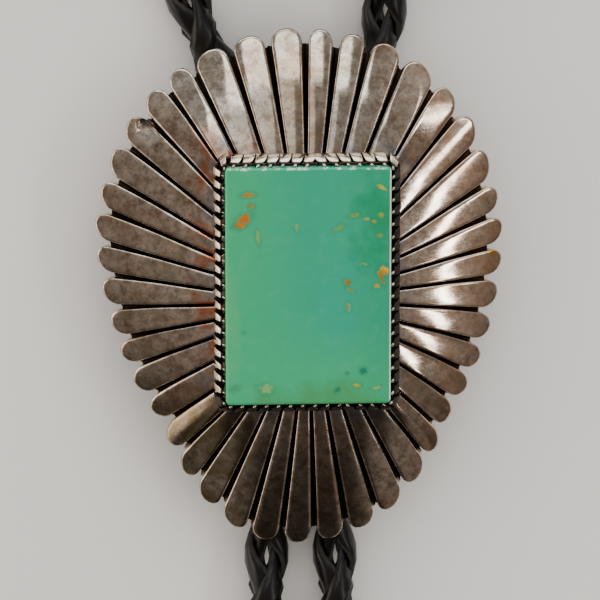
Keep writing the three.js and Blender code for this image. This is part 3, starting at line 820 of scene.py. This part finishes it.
# %% Its colour: rubbed metal, brown and green mottling, four tarnish colours, one gold speck
GOLD_SPECK = (22.2, 3.85)
rubbed = add_node(tree, "ShaderNodeMapRange", None, {
    "Value": cloud.outputs["Fac"], "From Min": 0.38, "From Max": 0.6})
metal = add_node(tree, "ShaderNodeMix", {"data_type": "RGBA"}, {
    0: rubbed.outputs[0], 6: colour("8E8072"), 7: colour("D8CFC2")})
browned = add_node(tree, "ShaderNodeMapRange", None, {
    "Value": patch.outputs["Fac"], "From Min": 0.45, "From Max": 0.72, "To Max": 0.6})
brown = add_node(tree, "ShaderNodeMix", {"data_type": "RGBA"}, {
    0: browned.outputs[0], 6: metal.outputs[2], 7: colour("A5805F")})
from_stone = add_node(tree, "ShaderNodeVectorMath", {"operation": "SUBTRACT"}, {
    0: place, 1: (STONE_CENTRE[0] / 1000, STONE_CENTRE[1] / 1000, 0)})
beside = add_node(tree, "ShaderNodeVectorMath", {"operation": "ABSOLUTE"}, {0: from_stone.outputs[0]})
beyond = add_node(tree, "ShaderNodeVectorMath", {"operation": "SUBTRACT"}, {
    0: beside.outputs[0], 1: (BEZEL_HALF[0] / 1000, BEZEL_HALF[1] / 1000, 0)})
beyond_axes = add_node(tree, "ShaderNodeSeparateXYZ", None, {0: beyond.outputs[0]})
from_bezel = add_node(tree, "ShaderNodeMath", {"operation": "MAXIMUM"}, {
    0: beyond_axes.outputs["X"], 1: beyond_axes.outputs["Y"]})
close = add_node(tree, "ShaderNodeMapRange", {"interpolation_type": "SMOOTHSTEP"}, {
    "Value": from_bezel.outputs[0], "From Min": 0.0046, "From Max": 0.0004})
spread = add_node(tree, "ShaderNodeTexNoise", None, {
    "Vector": place, "Scale": 330.0, "Detail": 4.0, "Distortion": 1.0})
green = add_node(tree, "ShaderNodeTexNoise", None, {
    "Vector": place, "Scale": 260.0, "Detail": 6.0, "Roughness": 0.7})
greened = add_node(tree, "ShaderNodeMapRange", None, {
    "Value": green.outputs["Fac"], "From Min": 0.5, "From Max": 0.68, "To Max": 0.55})
brown = add_node(tree, "ShaderNodeMix", {"data_type": "RGBA"}, {
    0: greened.outputs[0], 6: brown.outputs[2], 7: colour("94957C")})
specks = add_node(tree, "ShaderNodeTexNoise", None, {
    "Vector": place, "Scale": 1300.0, "Detail": 5.0, "Roughness": 0.7})
speckled = add_node(tree, "ShaderNodeMapRange", None, {
    "Value": specks.outputs["Fac"], "From Min": 0.53, "From Max": 0.66, "To Max": 0.55})
brown = add_node(tree, "ShaderNodeMix", {"data_type": "RGBA"}, {
    0: speckled.outputs[0], 6: brown.outputs[2], 7: colour("7A6552")})
where = add_node(tree, "ShaderNodeSeparateXYZ", None, {0: place})
on_left = add_node(tree, "ShaderNodeMapRange", None, {
    "Value": where.outputs["X"], "From Min": -0.004, "From Max": -0.008})
above = add_node(tree, "ShaderNodeMapRange", None, {
    "Value": where.outputs["Y"], "From Min": -0.01, "From Max": -0.005})
on_left_above = add_node(tree, "ShaderNodeMath", {"operation": "MULTIPLY"}, {
    0: on_left.outputs[0], 1: above.outputs[0]})
close_on_left = add_node(tree, "ShaderNodeMath", {"operation": "MULTIPLY"}, {
    0: close.outputs[0], 1: on_left_above.outputs[0]})
at_right_rim = add_node(tree, "ShaderNodeMapRange", {"interpolation_type": "SMOOTHSTEP"}, {
    "Value": where.outputs["X"], "From Min": 0.011, "From Max": 0.016})
at_foot = add_node(tree, "ShaderNodeMapRange", {"interpolation_type": "SMOOTHSTEP"}, {
    "Value": where.outputs["Y"], "From Min": -0.008, "From Max": -0.016})
at_left_foot = add_node(tree, "ShaderNodeMath", {"operation": "MULTIPLY"}, {
    0: on_left.outputs[0], 1: at_foot.outputs[0]})
for low_end, high_end, most, code, here in (
        (0.5, 0.6, 0.5, "7E8494", close), (0.5, 0.4, 0.75, "B9683A", close_on_left),
        (0.3, 0.6, 0.5, "CDA78A", at_right_rim), (0.6, 0.4, 0.6, "837A4C", at_left_foot)):
    blotch = add_node(tree, "ShaderNodeMapRange", None, {
        "Value": spread.outputs["Fac"], "From Min": low_end, "From Max": high_end, "To Max": most})
    amount = add_node(tree, "ShaderNodeMath", {"operation": "MULTIPLY"}, {
        0: blotch.outputs[0], 1: here.outputs[0]})
    brown = add_node(tree, "ShaderNodeMix", {"data_type": "RGBA"}, {
        0: amount.outputs[0], 6: brown.outputs[2], 7: colour(code)})
seen = add_node(tree, "ShaderNodeMapping", {"vector_type": "TEXTURE"}, {
    "Vector": place, "Location": (GOLD_SPECK[0] / 1000, GOLD_SPECK[1] / 1000, 0),
    "Rotation": (0, 0, math.radians(25)), "Scale": (0.0008, 0.0003, 1)})
away = add_node(tree, "ShaderNodeVectorMath", {"operation": "LENGTH"}, {0: seen.outputs[0]})
speck = add_node(tree, "ShaderNodeMapRange", None, {
    "Value": away.outputs["Value"], "From Min": 1.1, "From Max": 0.8, "To Max": 0.9})
brown = add_node(tree, "ShaderNodeMix", {"data_type": "RGBA"}, {
    0: speck.outputs[0], 6: brown.outputs[2], 7: colour("C79A1E")})
dark = add_node(tree, "ShaderNodeMix", {"data_type": "RGBA"}, {
    0: soot_and_shade, 6: brown.outputs[2], 7: colour("12100F")})

# %% Its gloss and relief: satin where it is rubbed, dull where soot stays, fine strokes all over
gloss = add_node(tree, "ShaderNodeMapRange", None, {
    "Value": scratches.outputs[0], "From Min": 1.1, "From Max": 1.9, "To Min": 0.055, "To Max": 0.11})
rough = add_node(tree, "ShaderNodeMix", None, {0: soot_and_shade, 2: gloss.outputs[0], 3: 0.55})
relief = add_node(tree, "ShaderNodeBump", None, {
    "Height": scratches.outputs[0], "Strength": 0.05, "Distance": 0.00001})
uneven = add_node(tree, "ShaderNodeBump", None, {
    "Height": patch.outputs["Fac"], "Strength": 0.12, "Distance": 0.00006, "Normal": relief.outputs[0]})
shader = add_node(tree, "ShaderNodeBsdfPrincipled", None, {
    "Base Color": dark.outputs[2], "Roughness": rough.outputs[0], "Metallic": 1.0,
    "Normal": uneven.outputs[0]})
add_node(tree, "ShaderNodeOutputMaterial", None, {"Surface": shader.outputs[0]})

# %% Silver of the bezel, the guide and the tips: rubbed brighter, dark only where it is marked: soot, and painted shade on the bezel's far-side teeth
plain_silver, tree = new_finish("worn_sterling_silver")
place = add_node(tree, "ShaderNodeTexCoord").outputs["Object"]
cloud = add_node(tree, "ShaderNodeTexNoise", None, {"Vector": place, "Scale": 900.0, "Detail": 4.0})
# The point attribute read here holds soot, and on the bezel's far-side teeth it also holds painted shade
soot_and_shade = add_node(tree, "ShaderNodeAttribute", {"attribute_name": "soot_and_shade"}).outputs["Fac"]
worn = add_node(tree, "ShaderNodeMapRange", None, {
    "Value": cloud.outputs["Fac"], "From Min": 0.35, "From Max": 0.6})
warm = add_node(tree, "ShaderNodeMix", {"data_type": "RGBA"}, {
    0: worn.outputs[0], 6: colour("B8A48E"), 7: colour("F0E8D8")})
dark = add_node(tree, "ShaderNodeMix", {"data_type": "RGBA"}, {
    0: soot_and_shade, 6: warm.outputs[2], 7: colour("0F0D0C")})
gloss = add_node(tree, "ShaderNodeMapRange", None, {
    "Value": cloud.outputs["Fac"], "From Min": 0.3, "From Max": 0.7, "To Min": 0.14, "To Max": 0.3})
rough = add_node(tree, "ShaderNodeMix", None, {0: soot_and_shade, 2: gloss.outputs[0], 3: 0.55})
relief = add_node(tree, "ShaderNodeBump", None, {
    "Height": cloud.outputs["Fac"], "Strength": 0.4, "Distance": 0.00006})
shader = add_node(tree, "ShaderNodeBsdfPrincipled", None, {
    "Base Color": dark.outputs[2], "Roughness": rough.outputs[0], "Metallic": 1.0,
    "Normal": relief.outputs[0]})
add_node(tree, "ShaderNodeOutputMaterial", None, {"Surface": shader.outputs[0]})

# %% [markdown]
# ### Turquoise
# A green turquoise, yellower to the left and below, bluer in the middle and deep green at the
# upper right. Ochre and green spots of the rock that it grew in have darker flecks and a green
# ring. A pale painted highlight runs along its right edge, and a broken painted glint runs along
# its top edge. The polish is waxy, not glassy.

# %% Spots in the turquoise
STONE_SPOTS = [
    # place, half-width and half-height in mm, turn in degrees, colour, strength
    (-5.95, 11.55, 0.62, 0.26, 0, "B4791C", 1.0),
    (-5.65, 10.35, 0.34, 0.26, 20, "A98418", 0.8),
    (-6.55, 8.7, 0.95, 0.5, 38, "B86400", 1.0),
    (-6.9, 8.15, 0.5, 0.3, 10, "C07000", 1.0),
    (-4.9, 6.85, 0.22, 0.75, 8, "7FA45A", 0.75),
    (-0.6, 7.85, 0.2, 0.5, 0, "86A860", 0.6),
    (8.8, 12.25, 0.6, 0.2, -30, "C0B028", 0.85),
    (5.7, 9.15, 0.6, 0.25, 10, "789A30", 0.7),
    (4.0, 7.75, 0.6, 0.25, 25, "789A30", 0.65),
    (7.1, 8.75, 0.3, 0.2, 0, "A0B034", 0.7),
    (8.7, 9.15, 0.3, 0.35, 0, "88A02C", 0.75),
    (8.0, 8.45, 0.25, 0.2, 0, "A4B430", 0.7),
    (8.6, 6.85, 0.4, 0.3, 0, "789A30", 0.6),
    (6.8, 3.75, 0.5, 0.12, -20, "A0B034", 0.6),
    (9.1, 2.85, 0.5, 0.5, -30, "DCA018", 1.0),
    (8.8, 2.15, 0.7, 0.25, -60, "B87A08", 0.9),
    (8.3, 1.15, 0.35, 0.25, 10, "B49420", 0.75),
    (5.0, 1.65, 0.36, 0.34, 0, "A07410", 0.9),
    (5.4, 0.75, 0.4, 0.25, -30, "8CA030", 0.6),
    (5.1, -1.15, 0.3, 0.5, 0, "86A860", 0.6),
    (6.8, -8.35, 0.34, 0.36, 0, "16705C", 0.9),
    (5.0, -8.65, 0.2, 0.2, 0, "2A7F68", 0.7),
    (3.9, -10.55, 0.34, 0.25, 30, "1E6F58", 0.85),
    (6.1, -10.05, 0.4, 0.22, -10, "B8A020", 0.8),
    (8.3, -10.35, 0.4, 0.2, 15, "9DA850", 0.6),
    (-4.0, -10.25, 0.7, 0.5, 0, "8DB868", 0.6),
    (-7.6, -10.25, 0.6, 0.3, 10, "3F7C60", 0.5),
    (-6.5, -3.95, 0.22, 0.2, 0, "3F7C60", 0.35),
]

# %% Clouds in the turquoise: place, half-width and half-height in mm, colour, strength
STONE_CLOUDS = [
    # deep green at the upper right, bluer in the middle, olive below, paler on the left
    (8.2, 8.6, 3.6, 6.5, "0A7C48", 0.55), (4.2, -1.5, 3.4, 8.0, "1C9C90", 0.2),
    (1.0, -13.0, 12.0, 4.0, "3F8C50", 0.75), (-8.8, -1.0, 2.0, 13.0, "58B070", 0.4),
]

# %% Turquoise
turquoise, tree = new_finish("polished_green_turquoise")
place = add_node(tree, "ShaderNodeTexCoord").outputs["Object"]
split = add_node(tree, "ShaderNodeSeparateXYZ", None, {0: place})
cloud = add_node(tree, "ShaderNodeTexNoise", None, {"Vector": place, "Scale": 110.0, "Detail": 3.0})
haze = add_node(tree, "ShaderNodeTexNoise", None, {"Vector": place, "Scale": 45.0, "Detail": 2.0})
veil = add_node(tree, "ShaderNodeTexNoise", None, {"Vector": place, "Scale": 700.0, "Detail": 4.0})
across = add_node(tree, "ShaderNodeMapRange", {"interpolation_type": "SMOOTHSTEP"}, {
    "Value": split.outputs["X"], "From Min": -0.0085, "From Max": 0.004})
bluer = add_node(tree, "ShaderNodeMapRange", {"interpolation_type": "SMOOTHSTEP"}, {
    "Value": split.outputs["Y"], "From Min": -0.0115, "From Max": 0.001})
blend = add_node(tree, "ShaderNodeMath", {"operation": "MULTIPLY"}, {
    0: across.outputs[0], 1: bluer.outputs[0]})
mottled = add_node(tree, "ShaderNodeMath", {"operation": "MULTIPLY_ADD", "use_clamp": True}, {
    0: cloud.outputs["Fac"], 1: 0.5, 2: blend.outputs[0]})
lowered = add_node(tree, "ShaderNodeMath", {"operation": "SUBTRACT", "use_clamp": True}, {
    0: mottled.outputs[0], 1: 0.2})
base = add_node(tree, "ShaderNodeMix", {"data_type": "RGBA"}, {
    0: lowered.outputs[0], 6: colour("2FA872"), 7: colour("149C7A")})
right_side = add_node(tree, "ShaderNodeMapRange", {"interpolation_type": "SMOOTHSTEP"}, {
    "Value": split.outputs["X"], "From Min": 0.0035, "From Max": 0.0095, "To Max": 0.75})
greener = add_node(tree, "ShaderNodeMath", {"operation": "MULTIPLY"}, {
    0: right_side.outputs[0], 1: haze.outputs["Fac"]})
ground = add_node(tree, "ShaderNodeMix", {"data_type": "RGBA"}, {
    0: greener.outputs[0], 6: base.outputs[2], 7: colour("0E8C62")})
fine = add_node(tree, "ShaderNodeMapRange", None, {
    "Value": veil.outputs["Fac"], "From Min": 0.52, "From Max": 0.75, "To Max": 0.12})
paint = add_node(tree, "ShaderNodeMix", {"data_type": "RGBA"}, {
    0: fine.outputs[0], 6: ground.outputs[2], 7: colour("5CB98A")}).outputs[2]
smoke = add_node(tree, "ShaderNodeTexNoise", None, {
    "Vector": place, "Scale": 300.0, "Detail": 6.0, "Roughness": 0.6})
for x, y, half_wide, half_high, code, strength in STONE_CLOUDS:
    seen = add_node(tree, "ShaderNodeMapping", {"vector_type": "TEXTURE"}, {
        "Vector": place, "Location": (x / 1000, y / 1000, 0),
        "Scale": (half_wide / 1000, half_high / 1000, 1)})
    away = add_node(tree, "ShaderNodeVectorMath", {"operation": "LENGTH"}, {0: seen.outputs[0]})
    drifted = add_node(tree, "ShaderNodeMath", {"operation": "MULTIPLY_ADD"}, {
        0: smoke.outputs["Fac"], 1: 3.0, 2: away.outputs["Value"]})
    haze_here = add_node(tree, "ShaderNodeMapRange", {"interpolation_type": "SMOOTHSTEP"}, {
        "Value": drifted.outputs[0], "From Min": 2.6, "From Max": 1.6, "To Max": strength})
    paint = add_node(tree, "ShaderNodeMix", {"data_type": "RGBA"}, {
        0: haze_here.outputs[0], 6: paint, 7: colour(code)}).outputs[2]
ragged = add_node(tree, "ShaderNodeTexNoise", None, {
    "Vector": place, "Scale": 1700.0, "Detail": 5.0, "Roughness": 0.65})
for x, y, half_wide, half_high, turn, code, strength in STONE_SPOTS:
    seen = add_node(tree, "ShaderNodeMapping", {"vector_type": "TEXTURE"}, {
        "Vector": place, "Location": (x / 1000, y / 1000, 0), "Rotation": (0, 0, math.radians(turn)),
        "Scale": (half_wide / 1000, half_high / 1000, 1)})
    away = add_node(tree, "ShaderNodeVectorMath", {"operation": "LENGTH"}, {0: seen.outputs[0]})
    rough_edge = add_node(tree, "ShaderNodeMath", {"operation": "MULTIPLY_ADD"}, {
        0: ragged.outputs["Fac"], 1: 2.4, 2: away.outputs["Value"]})
    ring = add_node(tree, "ShaderNodeMapRange", {"interpolation_type": "SMOOTHSTEP"}, {
        "Value": rough_edge.outputs[0], "From Min": 3.6, "From Max": 2.2, "To Max": 0.5 * strength})
    paint = add_node(tree, "ShaderNodeMix", {"data_type": "RGBA"}, {
        0: ring.outputs[0], 6: paint, 7: colour("1F8258")}).outputs[2]
    spot = add_node(tree, "ShaderNodeMapRange", {"interpolation_type": "SMOOTHSTEP"}, {
        "Value": rough_edge.outputs[0], "From Min": 2.5, "From Max": 1.8, "To Max": strength})
    core = add_node(tree, "ShaderNodeMapRange", None, {
        "Value": veil.outputs["Fac"], "From Min": 0.5, "From Max": 0.62, "To Max": 0.5})
    ochre = add_node(tree, "ShaderNodeMix", {"data_type": "RGBA"}, {
        0: core.outputs[0], 6: colour(code), 7: colour("5E4A12")})
    paint = add_node(tree, "ShaderNodeMix", {"data_type": "RGBA"}, {
        0: spot.outputs[0], 6: paint, 7: ochre.outputs[2]}).outputs[2]
# Painted highlights: a pale line along the right edge, and a glint along the top edge broken up by noise,
# stand for light caught on the stone's edges
right_edge_highlight = add_node(tree, "ShaderNodeMapRange", None, {
    "Value": split.outputs["X"], "From Min": (STONE_CENTRE[0] + STONE_WIDTH / 2 - 0.21) / 1000,
    "From Max": (STONE_CENTRE[0] + STONE_WIDTH / 2 - 0.15) / 1000, "To Max": 0.85})
top_edge = add_node(tree, "ShaderNodeMapRange", None, {
    "Value": split.outputs["Y"], "From Min": (STONE_CENTRE[1] + STONE_HEIGHT / 2 - 0.6) / 1000,
    "From Max": (STONE_CENTRE[1] + STONE_HEIGHT / 2 - 0.25) / 1000})
glint_gaps = add_node(tree, "ShaderNodeTexNoise", None, {
    "Vector": place, "Scale": 1100.0, "Detail": 5.0, "Distortion": 0.6})
broken_glint = add_node(tree, "ShaderNodeMath", {"operation": "MULTIPLY"}, {
    0: top_edge.outputs[0], 1: glint_gaps.outputs["Fac"]})
top_edge_glint = add_node(tree, "ShaderNodeMapRange", None, {
    "Value": broken_glint.outputs[0], "From Min": 0.5, "From Max": 0.6, "To Max": 0.7})
painted_edge_highlights = add_node(tree, "ShaderNodeMath", {"operation": "MAXIMUM"}, {
    0: right_edge_highlight.outputs[0], 1: top_edge_glint.outputs[0]})
paint = add_node(tree, "ShaderNodeMix", {"data_type": "RGBA"}, {
    0: painted_edge_highlights.outputs[0], 6: paint, 7: colour("D6F0DE")}).outputs[2]
waxy = add_node(tree, "ShaderNodeMapRange", None, {
    "Value": veil.outputs["Fac"], "From Min": 0.35, "From Max": 0.7, "To Min": 0.15, "To Max": 0.24})
pits = add_node(tree, "ShaderNodeBump", None, {
    "Height": veil.outputs["Fac"], "Strength": 0.12, "Distance": 0.00004})
shader = add_node(tree, "ShaderNodeBsdfPrincipled", None, {
    "Base Color": paint, "Roughness": waxy.outputs[0], "IOR": 1.5, "Normal": pits.outputs[0]})
add_node(tree, "ShaderNodeOutputMaterial", None, {"Surface": shader.outputs[0]})

# %% [markdown]
# ### Black leather lace
# Cowhide lace, dyed through and waxed: nearly black, with soft glossy streaks, and a greyer, dull
# cut edge on both sides of each strip.

# %% Leather
leather, tree = new_finish("waxed_leather_lace")
uv = add_node(tree, "ShaderNodeUVMap", {"uv_map": "lace"}).outputs[0]
place = add_node(tree, "ShaderNodeTexCoord").outputs["Object"]
grain = add_node(tree, "ShaderNodeTexNoise", None, {"Vector": place, "Scale": 1400.0, "Detail": 4.0})
split = add_node(tree, "ShaderNodeSeparateXYZ", None, {0: uv})
off_middle = add_node(tree, "ShaderNodeMath", {"operation": "SUBTRACT"}, {0: split.outputs[0], 1: 0.5})
to_edge = add_node(tree, "ShaderNodeMath", {"operation": "ABSOLUTE"}, {0: off_middle.outputs[0]})
edge = add_node(tree, "ShaderNodeMapRange", None, {
    "Value": to_edge.outputs[0], "From Min": 0.42, "From Max": 0.48})
skin = add_node(tree, "ShaderNodeMix", {"data_type": "RGBA"}, {
    0: grain.outputs["Fac"], 6: colour("080707"), 7: colour("131111")})
lace = add_node(tree, "ShaderNodeMix", {"data_type": "RGBA"}, {
    0: edge.outputs[0], 6: skin.outputs[2], 7: colour("2E2C27")})
rough = add_node(tree, "ShaderNodeMix", None, {0: edge.outputs[0], 2: 0.3, 3: 0.7})
relief = add_node(tree, "ShaderNodeBump", None, {
    "Height": grain.outputs["Fac"], "Strength": 0.2, "Distance": 0.00003})
shader = add_node(tree, "ShaderNodeBsdfPrincipled", None, {
    "Base Color": lace.outputs[2], "Roughness": rough.outputs[0], "Specular IOR Level": 0.3,
    "Normal": relief.outputs[0]})
add_node(tree, "ShaderNodeOutputMaterial", None, {"Surface": shader.outputs[0]})

tie_leather, tree = new_finish("waxed_leather_strap")
place = add_node(tree, "ShaderNodeTexCoord").outputs["Object"]
grain = add_node(tree, "ShaderNodeTexNoise", None, {"Vector": place, "Scale": 1400.0, "Detail": 4.0})
skin = add_node(tree, "ShaderNodeMix", {"data_type": "RGBA"}, {
    0: grain.outputs["Fac"], 6: colour("080707"), 7: colour("131111")})
relief = add_node(tree, "ShaderNodeBump", None, {
    "Height": grain.outputs["Fac"], "Strength": 0.2, "Distance": 0.00003})
shader = add_node(tree, "ShaderNodeBsdfPrincipled", None, {
    "Base Color": skin.outputs[2], "Roughness": 0.38, "Normal": relief.outputs[0]})
add_node(tree, "ShaderNodeOutputMaterial", None, {"Surface": shader.outputs[0]})

# %% Dress the pieces
for piece, finish, slot in (
        (plate, silver, "silver"), (bezel, plain_silver, "silver"), (guide, plain_silver, "silver"),
        (tip_left, plain_silver, "tip_silver"), (tip_right, plain_silver, "tip_silver"),
        (stone, turquoise, "turquoise"), (tie, tie_leather, "tie_leather"),
        (braid_left, leather, "cord_leather"), (braid_right, leather, "cord_leather"),
        (braid_neck, leather, "cord_leather")):
    wear(piece, finish)
    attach(piece, "root")

for piece, node_name in (
        (plate, "sunburst_slide"), (bezel, "sunburst_slide"), (guide, "sunburst_slide"),
        (stone, "turquoise_stone"), (tip_left, "tip_left"), (tip_right, "tip_right"), (tie, "hank_tie"),
        (braid_left, "cord_left"), (braid_right, "cord_right"), (braid_neck, "cord_neck_hank")):
    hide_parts(node_name)

# %% [markdown]
# ## What is soft
# The cord leaves the guide in four places. Its two ends go down to the tips, and the neck loop
# goes up, round the hank and back.

# %% [markdown]
# ## Floor and lights
# The floor is plain and pale. Polished metal shows the room, so each light is placed by the
# direction in which the metal sees it. A window and a wall beyond the neck brighten the upper
# rays. A narrow bent strip at the right draws one bright band across the rays that fall away to
# it. A broad soft light overhead lights the stone, the leather and the floor, and the metal
# doesn't mirror it.

# %% Floor
floor = start(bpy.ops.mesh.primitive_plane_add, size=1.6)
floor.name = "pale_floor"
paper, tree = new_finish("pale_matt_paper")
fibre = add_node(tree, "ShaderNodeTexNoise", None, {"Scale": 40.0, "Detail": 3.0})
tint = add_node(tree, "ShaderNodeMix", {"data_type": "RGBA"}, {
    0: fibre.outputs["Fac"], 6: colour("EAE8E4"), 7: colour("F0EEEA")})
shader = add_node(tree, "ShaderNodeBsdfPrincipled", None, {
    "Base Color": tint.outputs[2], "Roughness": 0.85})
add_node(tree, "ShaderNodeOutputMaterial", None, {"Surface": shader.outputs[0]})
floor.data.materials.append(paper)
floor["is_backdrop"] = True

# %% Lights
PANELS = [
    # name, its one end and the other as x and y of a unit direction, half-width in degrees, radiance,
    # seen in metal
    ("window_over_the_neck", (0.02, 0.47), (0.02, 0.66), 10, 2.6, True),
    ("wall_below_the_window", (-0.12, 0.17), (-0.1, 0.47), 10, 0.9, True),
    ("strip_foot", (0.595, -0.52), (0.67, -0.34), 1.3, 6.0, True),
    ("strip_low", (0.67, -0.34), (0.65, -0.17), 1.3, 13.0, True),
    ("strip_middle", (0.65, -0.17), (0.655, 0.0), 1.3, 13.0, True),
    ("strip_top", (0.655, 0.0), (0.735, 0.27), 1.7, 7.5, True),
    ("strip_end", (0.735, 0.27), (0.55, 0.47), 2.0, 3.2, True),
    ("soft_light_overhead", (0, -0.6), (0, 0.8), 50, 0.75, False),
]
PANEL_DISTANCE = 0.6


def on_ceiling(x, y):
    return PANEL_DISTANCE * Vector((x, y, math.sqrt(1 - x * x - y * y)))


for name, one_end, other_end, half_wide, radiance, seen_in_metal in PANELS:
    lamp = bpy.data.lights.new(name, "AREA")
    lamp.shape = "RECTANGLE"
    first, last = on_ceiling(*one_end), on_ceiling(*other_end)
    facing = (first + last).normalized()
    along = (last - first).normalized()
    lamp.size = 2 * PANEL_DISTANCE * math.tan(math.radians(half_wide))
    lamp.size_y = (last - first).length
    lamp.energy = radiance * math.pi * lamp.size * lamp.size_y
    holder = bpy.data.objects.new(name, lamp)
    bpy.context.scene.collection.objects.link(holder)
    holder.location = (first + last) / 2
    holder.rotation_euler = Matrix((along.cross(facing), along, facing)).transposed().to_euler()
    holder.visible_camera = False
    holder.visible_glossy = seen_in_metal
    print(name, round(lamp.energy, 2), "W")

# %% Room: bright beyond the neck and low on the left, dim and warm overhead, dark at the lower end
world = bpy.data.worlds.new("studio")
world.use_nodes = True
tree = world.node_tree
tree.nodes.clear()
towards = add_node(tree, "ShaderNodeTexCoord").outputs["Generated"]
split = add_node(tree, "ShaderNodeSeparateXYZ", None, {0: towards})
WALLS = [
    # axis, where it starts and is full, as a share of a unit direction, and how much light it adds
    ("Y", -0.75, -0.2, 0.21), ("Y", 0.1, 0.3, 0.12), ("Y", 0.7, 0.86, 2.6),
    ("X", -0.08, -0.3, 0.13), ("X", -0.4, -0.66, -0.08), ("X", -0.72, -0.98, 3.0),
    ("X", 0.2, 0.45, 0.18), ("X", 0.7, 0.8, -0.16),
]
strength = add_node(tree, "ShaderNodeValue").outputs[0]
strength.default_value = 0.045
for axis, starts, full, light in WALLS:
    wall = add_node(tree, "ShaderNodeMapRange", {"interpolation_type": "SMOOTHSTEP"}, {
        "Value": split.outputs[axis], "From Min": starts, "From Max": full, "To Max": light})
    strength = add_node(tree, "ShaderNodeMath", {"operation": "ADD"}, {
        0: strength, 1: wall.outputs[0]}).outputs[0]
neck_side = add_node(tree, "ShaderNodeMapRange", None, {
    "Value": split.outputs["Y"], "From Min": 0.1, "From Max": 0.6})
whiter = add_node(tree, "ShaderNodeMix", {"data_type": "RGBA"}, {
    0: neck_side.outputs[0], 6: colour("FFEBDC"), 7: colour("FFFDFA")})
background = add_node(tree, "ShaderNodeBackground", None, {
    "Color": whiter.outputs[2], "Strength": strength})
add_node(tree, "ShaderNodeOutputWorld", None, {"Surface": background.outputs[0]})
bpy.context.scene.world = world

# %% Sizes
low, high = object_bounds()
print("visual box, mm:", [round(1000 * side, 1) for side in (high - low)])
